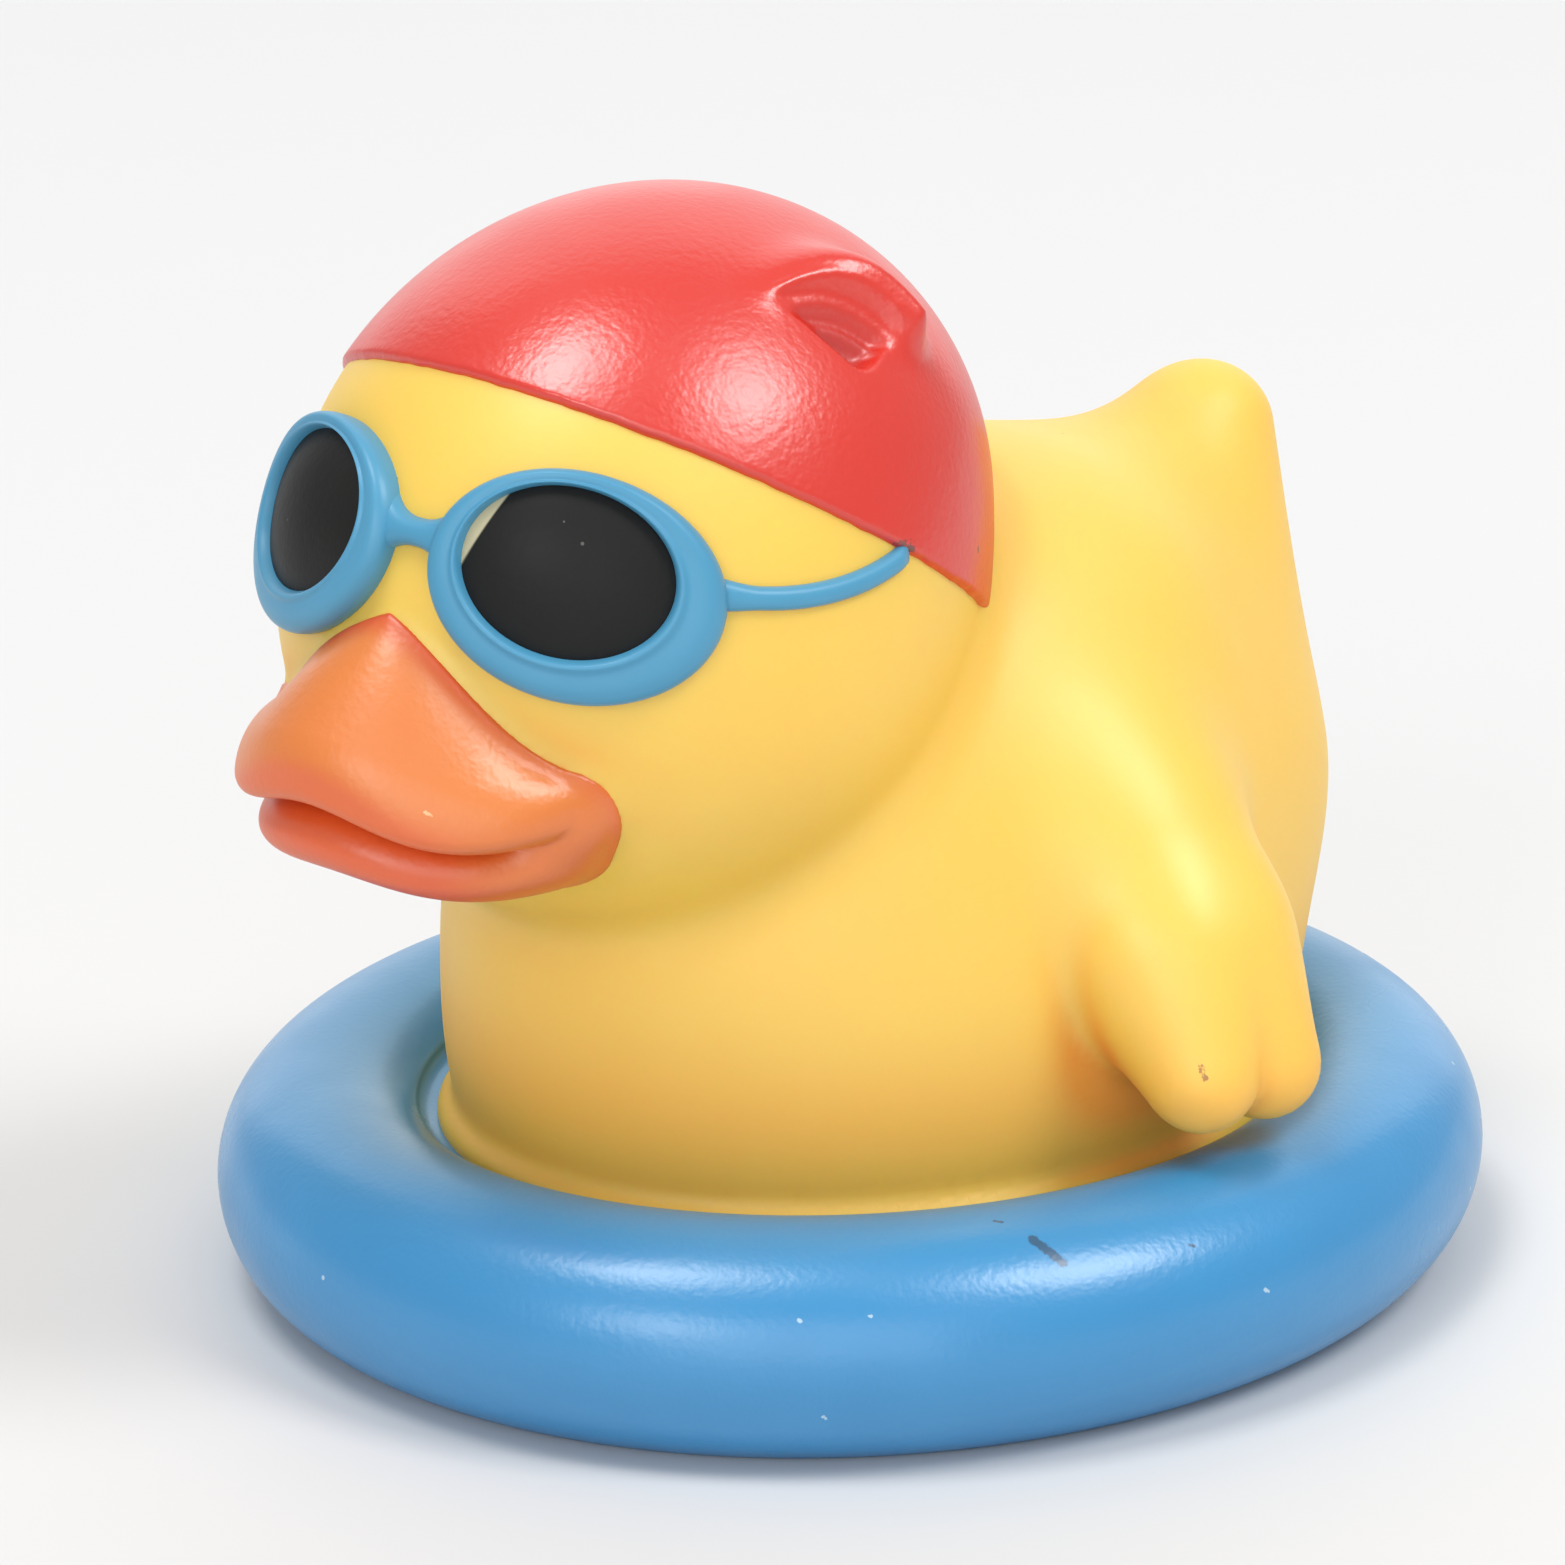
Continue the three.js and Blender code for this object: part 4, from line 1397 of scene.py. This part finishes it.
class SpeckField(Effect):
    """Scattered small specks, as a mask: the middles of cells, kept where a chance is high."""

    name = "specks"
    inputs = {"Scale": Kind.VALUE, "Size": Kind.VALUE, "Rarity": Kind.VALUE}
    outputs = {"Mask": Kind.VALUE}

    def draw(self, sketch: NodeSketch, given: Sockets, result: Sockets) -> None:
        """Multiplies nearness to a cell's middle by whether the cell's red passes the rarity.

        Args:
            sketch: Nodes of the group.
            given: Its inputs.
            result: Its outputs.
        """
        values = {"Vector": given["Vector"], "Scale": given["Scale"], "Randomness": 1.0}
        cells = sketch.node("ShaderNodeTexVoronoi", values)
        dot = sketch.math("LESS_THAN", cells.outputs["Distance"], given["Size"])
        chance = sketch.node("ShaderNodeSeparateColor", {"Color": cells.outputs["Color"]})
        kept = sketch.math("GREATER_THAN", chance.outputs[0], given["Rarity"])
        sketch.feed(sketch.math("MULTIPLY", dot, kept), result["Mask"])


@dataclass(frozen=True)
class Mark:
    """A mark on the surface: a ragged line or spot of a colour."""

    start: Vec
    end: Vec
    radius: float
    colour: Colour
    ragged: float

    def values(self, grain: Socket) -> dict[str, Value]:
        """What the spot effect gets, in metres, with the grain that ruffles it."""
        start, end = (tuple(MM * value for value in place) for place in (self.start, self.end))
        return {"Start": start, "End": end, "Radius": self.radius * MM, "Ragged": self.ragged,
                "Grain": grain}


@dataclass(frozen=True)
class Specks:
    """Scattered small specks of a colour."""

    colour: Colour
    scale: float
    size: float
    rarity: float


@dataclass(frozen=True)
class Finish:
    """A finish of vinyl or sprayed paint."""

    name: str
    light: Colour
    deep: Colour
    mottle_scale: float = 60.0
    roughness: Pair = (0.3, 0.4)
    specular: float = 0.5
    ior: float = 1.5
    scatter: float = 0.0
    scatter_radius: Vec = (1.0, 0.35, 0.1)
    scatter_scale: float = 7.0
    peel_scale: float = 1700.0
    peel_strength: float = 0.0
    peel_depth: float = 0.05
    marks: tuple[Mark, ...] = ()
    grain_scale: float = 2600.0
    specks: tuple[Specks, ...] = ()
    # Colour of painted shade, mixed in by the hollow mark.
    painted_shade_colour: Colour | None = None
    hollow_roughness: float = 0.3
    # Colour of the edge mark: partly a redder band at the root, partly painted shade on the bill.
    red_root_and_shade_colour: Colour | None = None
    bare_colour: Colour | None = None
    seam_z: float | None = None
    seam_half: Pair = (0.22, 0.08)
    seam_share: float = 0.3

    def painted(self, sketch: NodeSketch, place: Socket, colour: Socket) -> Socket:
        """Colour of the surface: painted shade in hollows, edge tints that are partly painted shade,
        bare spots, seam, specks and marks over the paint.

        Args:
            sketch: Nodes of the material.
            place: Object coordinates.
            colour: Colour of the mottled paint.

        Returns:
            The colour's socket.
        """
        # The hollow mark mixes in painted shade; the edge mark a redder root band and painted shade
        # on the bill.
        tints = {"hollow": self.painted_shade_colour, "edge": self.red_root_and_shade_colour, "bare": self.bare_colour}
        for name, tint in tints.items():
            if tint is not None:
                colour = sketch.mix(sketch.mark(name), colour, tint)
        if self.seam_z is not None:
            height = sketch.node("ShaderNodeSeparateXYZ", {0: place}).outputs["Z"]
            above = sketch.math("SUBTRACT", height, self.seam_z * MM)
            away = sketch.math("ABSOLUTE", above, 0.0)
            outer, inner = (MM * half for half in self.seam_half)
            line = sketch.ramp(away, (outer, inner), (0.0, self.seam_share))
            colour = sketch.mix(line, colour, self.deep)
        for kind in self.specks:
            values = {"Scale": kind.scale, "Size": kind.size, "Rarity": kind.rarity}
            mask = sketch.effect(SpeckField(), place, values)
            colour = sketch.mix(mask["Mask"], colour, kind.colour)
        if self.marks:
            grain = sketch.noise(place, self.grain_scale, detail=2.0, roughness=0.7)
        for mark in self.marks:
            mask = sketch.effect(Spot(), place, mark.values(grain))
            colour = sketch.mix(mask["Mask"], colour, mark.colour)
        return colour

    def material(self) -> bpy.types.Material:
        """Makes the finish a material that reads object coordinates.

        Returns:
            The material.
        """
        made = bpy.data.materials.new(self.name)
        made.use_nodes = True
        sketch = NodeSketch(made.node_tree)
        place = sketch.node("ShaderNodeTexCoord", {}).outputs["Object"]
        values = {"Scale": self.mottle_scale, "Light": self.light, "Deep": self.deep}
        paint = sketch.effect(Mottling(), place, values)
        rough = sketch.ramp(paint["Share"], (0.0, 1.0), self.roughness)
        # Where the hollow mark's painted shade lies, the surface is also rougher.
        if self.painted_shade_colour is not None:
            more = sketch.math("MULTIPLY", sketch.mark("hollow"), self.hollow_roughness)
            rough = sketch.math("ADD", rough, more)
        sketch.surface({
            "Base Color": self.painted(sketch, place, paint["Colour"]),
            "Roughness": rough,
            "IOR": self.ior,
            "Specular IOR Level": self.specular,
            "Subsurface Weight": self.scatter,
            "Subsurface Radius": self.scatter_radius,
            "Subsurface Scale": self.scatter_scale * MM,
        })
        if self.peel_strength > 0.0:
            peel = sketch.effect(OrangePeel(), place, {"Scale": self.peel_scale})
            bump = sketch.node("ShaderNodeBump", {
                "Strength": self.peel_strength,
                "Distance": self.peel_depth * MM,
                "Height": peel["Height"],
            })
            sketch.surface({"Normal": bump.outputs["Normal"]})
        return made


SCUFF_BROWN: Colour = (0.42, 0.19, 0.035)
DARK_MARK_BLUE: Colour = (0.018, 0.09, 0.19)
CHALK: Colour = (0.38, 0.55, 0.70)
# The yellow's painted shade colour, a deep orange, darkens creases and the body near the ring.
YELLOW = Finish(
    "yellow_vinyl", light=(0.92, 0.585, 0.085), deep=(0.91, 0.56, 0.075), mottle_scale=45.0,
    roughness=(0.42, 0.5), specular=0.9, scatter=0.3, painted_shade_colour=(0.93, 0.36, 0.03),
    marks=(Mark((39.64, -0.87, 25.38), (40.1, -0.88, 24.58), 0.3, SCUFF_BROWN, 0.9),),
    specks=(Specks((0.60, 0.34, 0.04), 420.0, 0.05, 0.96),))
# The red's painted shade colour darkens the fold's pocket.
RED = Finish(
    "cap_red", light=(0.66, 0.018, 0.003), deep=(0.63, 0.014, 0.002), roughness=(0.28, 0.34),
    ior=1.55, specular=1.0, peel_strength=0.8, painted_shade_colour=(0.50, 0.010, 0.003),
    hollow_roughness=0.1,
    marks=(Mark((25.04, -17.15, 64.29), (25.3, -16.7, 64.1), 0.9, (0.16, 0.02, 0.012), 0.8),
           Mark((21.56, -7.04, 61.86), (21.6, -7.0, 61.7), 0.22, (0.2, 0.012, 0.008), 0.6)),
    specks=(Specks((0.3, 0.015, 0.01), 300.0, 0.05, 0.97),))
RING_BLUE = Finish(
    "ring_blue", light=(0.032, 0.258, 0.54), deep=(0.026, 0.238, 0.51), roughness=(0.27, 0.34),
    specular=0.9, peel_strength=0.5, seam_z=9.1,
    # Dark blue marks on the ring, a streak and two small spots, drawn as colour only.
    marks=(Mark((39.22, -16.9, 15.81), (41.44, -16.09, 14.59), 0.5, DARK_MARK_BLUE, 0.35),
           Mark((36.21, -17.88, 16.59), (36.6, -17.55, 16.55), 0.17, DARK_MARK_BLUE, 0.8),
           Mark((44.16, -5.98, 14.07), (44.3, -5.7, 13.9), 0.17, DARK_MARK_BLUE, 0.8),
           Mark((33.59, -34.16, 12.49), (33.7, -34.1, 12.4), 0.15, CHALK, 0.8),
           Mark((36.52, -30.13, 12.65), (36.6, -30.0, 12.6), 0.15, CHALK, 0.8),
           Mark((35.35, -33.4, 5.37), (35.5, -33.2, 5.2), 0.15, CHALK, 0.8),
           Mark((46.76, -0.78, 9.97), (46.7, -0.2, 9.6), 0.17, CHALK, 0.9)),
    specks=(Specks((0.36, 0.53, 0.68), 260.0, 0.05, 0.95),
            Specks((0.016, 0.056, 0.13), 240.0, 0.04, 0.97)))
GOGGLE_BLUE = Finish(
    "goggle_blue", light=(0.075, 0.305, 0.49), deep=(0.062, 0.28, 0.46), roughness=(0.36, 0.44),
    peel_scale=2200.0, peel_strength=0.12)
LENS_BLACK = Finish(
    "lens_black", light=(0.010, 0.010, 0.009), deep=(0.006, 0.006, 0.006), roughness=(0.42, 0.52),
    specular=0.25, peel_scale=1800.0, peel_strength=0.45, bare_colour=(0.50, 0.46, 0.30),
    specks=(Specks((0.10, 0.10, 0.09), 700.0, 0.09, 0.9),))
# The orange's edge colour: a redder band at the root, and painted shade on the rim face and the
# lower lip.
ORANGE = Finish(
    "bill_orange", light=(0.72, 0.195, 0.026), deep=(0.70, 0.18, 0.022), roughness=(0.34, 0.41),
    specular=1.0, peel_strength=0.7, red_root_and_shade_colour=(0.72, 0.08, 0.010),
    marks=(Mark((14.59, -52.17, 49.47), (15.0, -51.9, 49.2), 0.17, (0.85, 0.45, 0.2), 0.8),))


# Studio


def face(placed: bpy.types.Object, aim: Vec, away: Vector, distance: float) -> None:
    """Moves an object some metres away from an aim point, given in mm, and turns it to it."""
    placed.location = Vector(aim) * MM + away * distance
    placed.rotation_euler = away.to_track_quat("Z", "Y").to_euler()


@dataclass(frozen=True)
class SoftBox:
    """A square studio light that hangs in a direction from the duck and faces it."""

    towards: Vec
    distance: float
    size: float
    power: float

    def build(self, name: str, aim: Vec) -> None:
        """Hangs the light.

        Args:
            name: Name of the light.
            aim: Point that it faces.
        """
        lamp = bpy.data.lights.new(name, "AREA")
        lamp.shape = "SQUARE"
        lamp.size = self.size
        lamp.energy = self.power
        face(stood(name, lamp), aim, Vector(self.towards).normalized(), self.distance)


@dataclass(frozen=True)
class Studio:
    """Pale floor, soft light and the camera at the photograph's angle."""

    azimuth: float = 50.0
    elevation: float = 18.0
    distance: float = 0.45
    aim: Vec = (-3.7, -4.4, 37.1)
    focal_pixels: float = 5809.0
    image_pixels: float = 1565.0
    sensor: float = 36.0
    nearest: float = 0.01
    floor_half: float = 6.0
    floor_colour: Colour = (0.69, 0.69, 0.69)
    floor_roughness: float = 0.6
    floor_specular: float = 0.2
    sky: float = 0.5
    boxes: tuple[SoftBox, ...] = (
        SoftBox((-0.06, -0.30, 0.95), 2.5, 0.90, 22.5),
        SoftBox((0.53, 0.28, 0.80), 2.5, 0.95, 25.0),
        SoftBox((0.34, -0.83, 0.45), 2.5, 0.83, 8.5),
        SoftBox((0.75, -0.62, 0.18), 2.5, 2.4, 22.0),
        SoftBox((-0.70, 0.60, 0.40), 2.5, 3.6, 32.0),
    )

    def build(self) -> None:
        """Sets floor, light and camera."""
        scene = bpy.context.scene
        scene.view_settings.view_transform = "Standard"
        scene.world = bpy.data.worlds.new("studio")
        scene.world.use_nodes = True
        background = scene.world.node_tree.nodes["Background"]
        background.inputs["Color"].default_value = (1.0, 1.0, 1.0, 1.0)
        background.inputs["Strength"].default_value = self.sky
        for number, box in enumerate(self.boxes):
            box.build(f"soft_box_{number}", self.aim)
        self.floor()
        self.camera()

    def floor(self) -> None:
        """Lays the floor, a square, under the ring."""
        corners = [(-1.0, -1.0), (1.0, -1.0), (1.0, 1.0), (-1.0, 1.0)]
        points = [(self.floor_half * x, self.floor_half * y, 0.0) for x, y in corners]
        mesh = bpy.data.meshes.new("floor")
        mesh.from_pydata(points, [], [range(len(points))])
        made = bpy.data.materials.new("floor")
        made.use_nodes = True
        NodeSketch(made.node_tree).surface({
            "Base Color": self.floor_colour,
            "Roughness": self.floor_roughness,
            "Specular IOR Level": self.floor_specular,
        })
        mesh.materials.append(made)
        stood("floor", mesh)

    def camera(self) -> None:
        """Stands the camera off the aim point, by its azimuth from -Y and its elevation."""
        lens = bpy.data.cameras.new("camera")
        lens.sensor_width = self.sensor
        lens.lens = self.focal_pixels / self.image_pixels * self.sensor
        lens.clip_start = self.nearest
        made = bpy.context.scene.camera = stood("camera", lens)
        face(made, self.aim, Vector(direction(self.azimuth, self.elevation)), self.distance)


def main() -> None:
    """Builds the duck's pieces in order, then the studio."""
    logging.basicConfig(level=logging.INFO, format="%(name)s %(message)s")
    head = Head()
    bill = Bill(head)
    cap = SwimCap(head)
    Casting(head, bill, cap).build(YELLOW)
    cap.build(RED)
    Goggles(head).build(GOGGLE_BLUE, LENS_BLACK)
    bill.build(ORANGE)
    SwimRing().build(RING_BLUE)
    Studio().build()


if __name__ == "__main__":
    main()
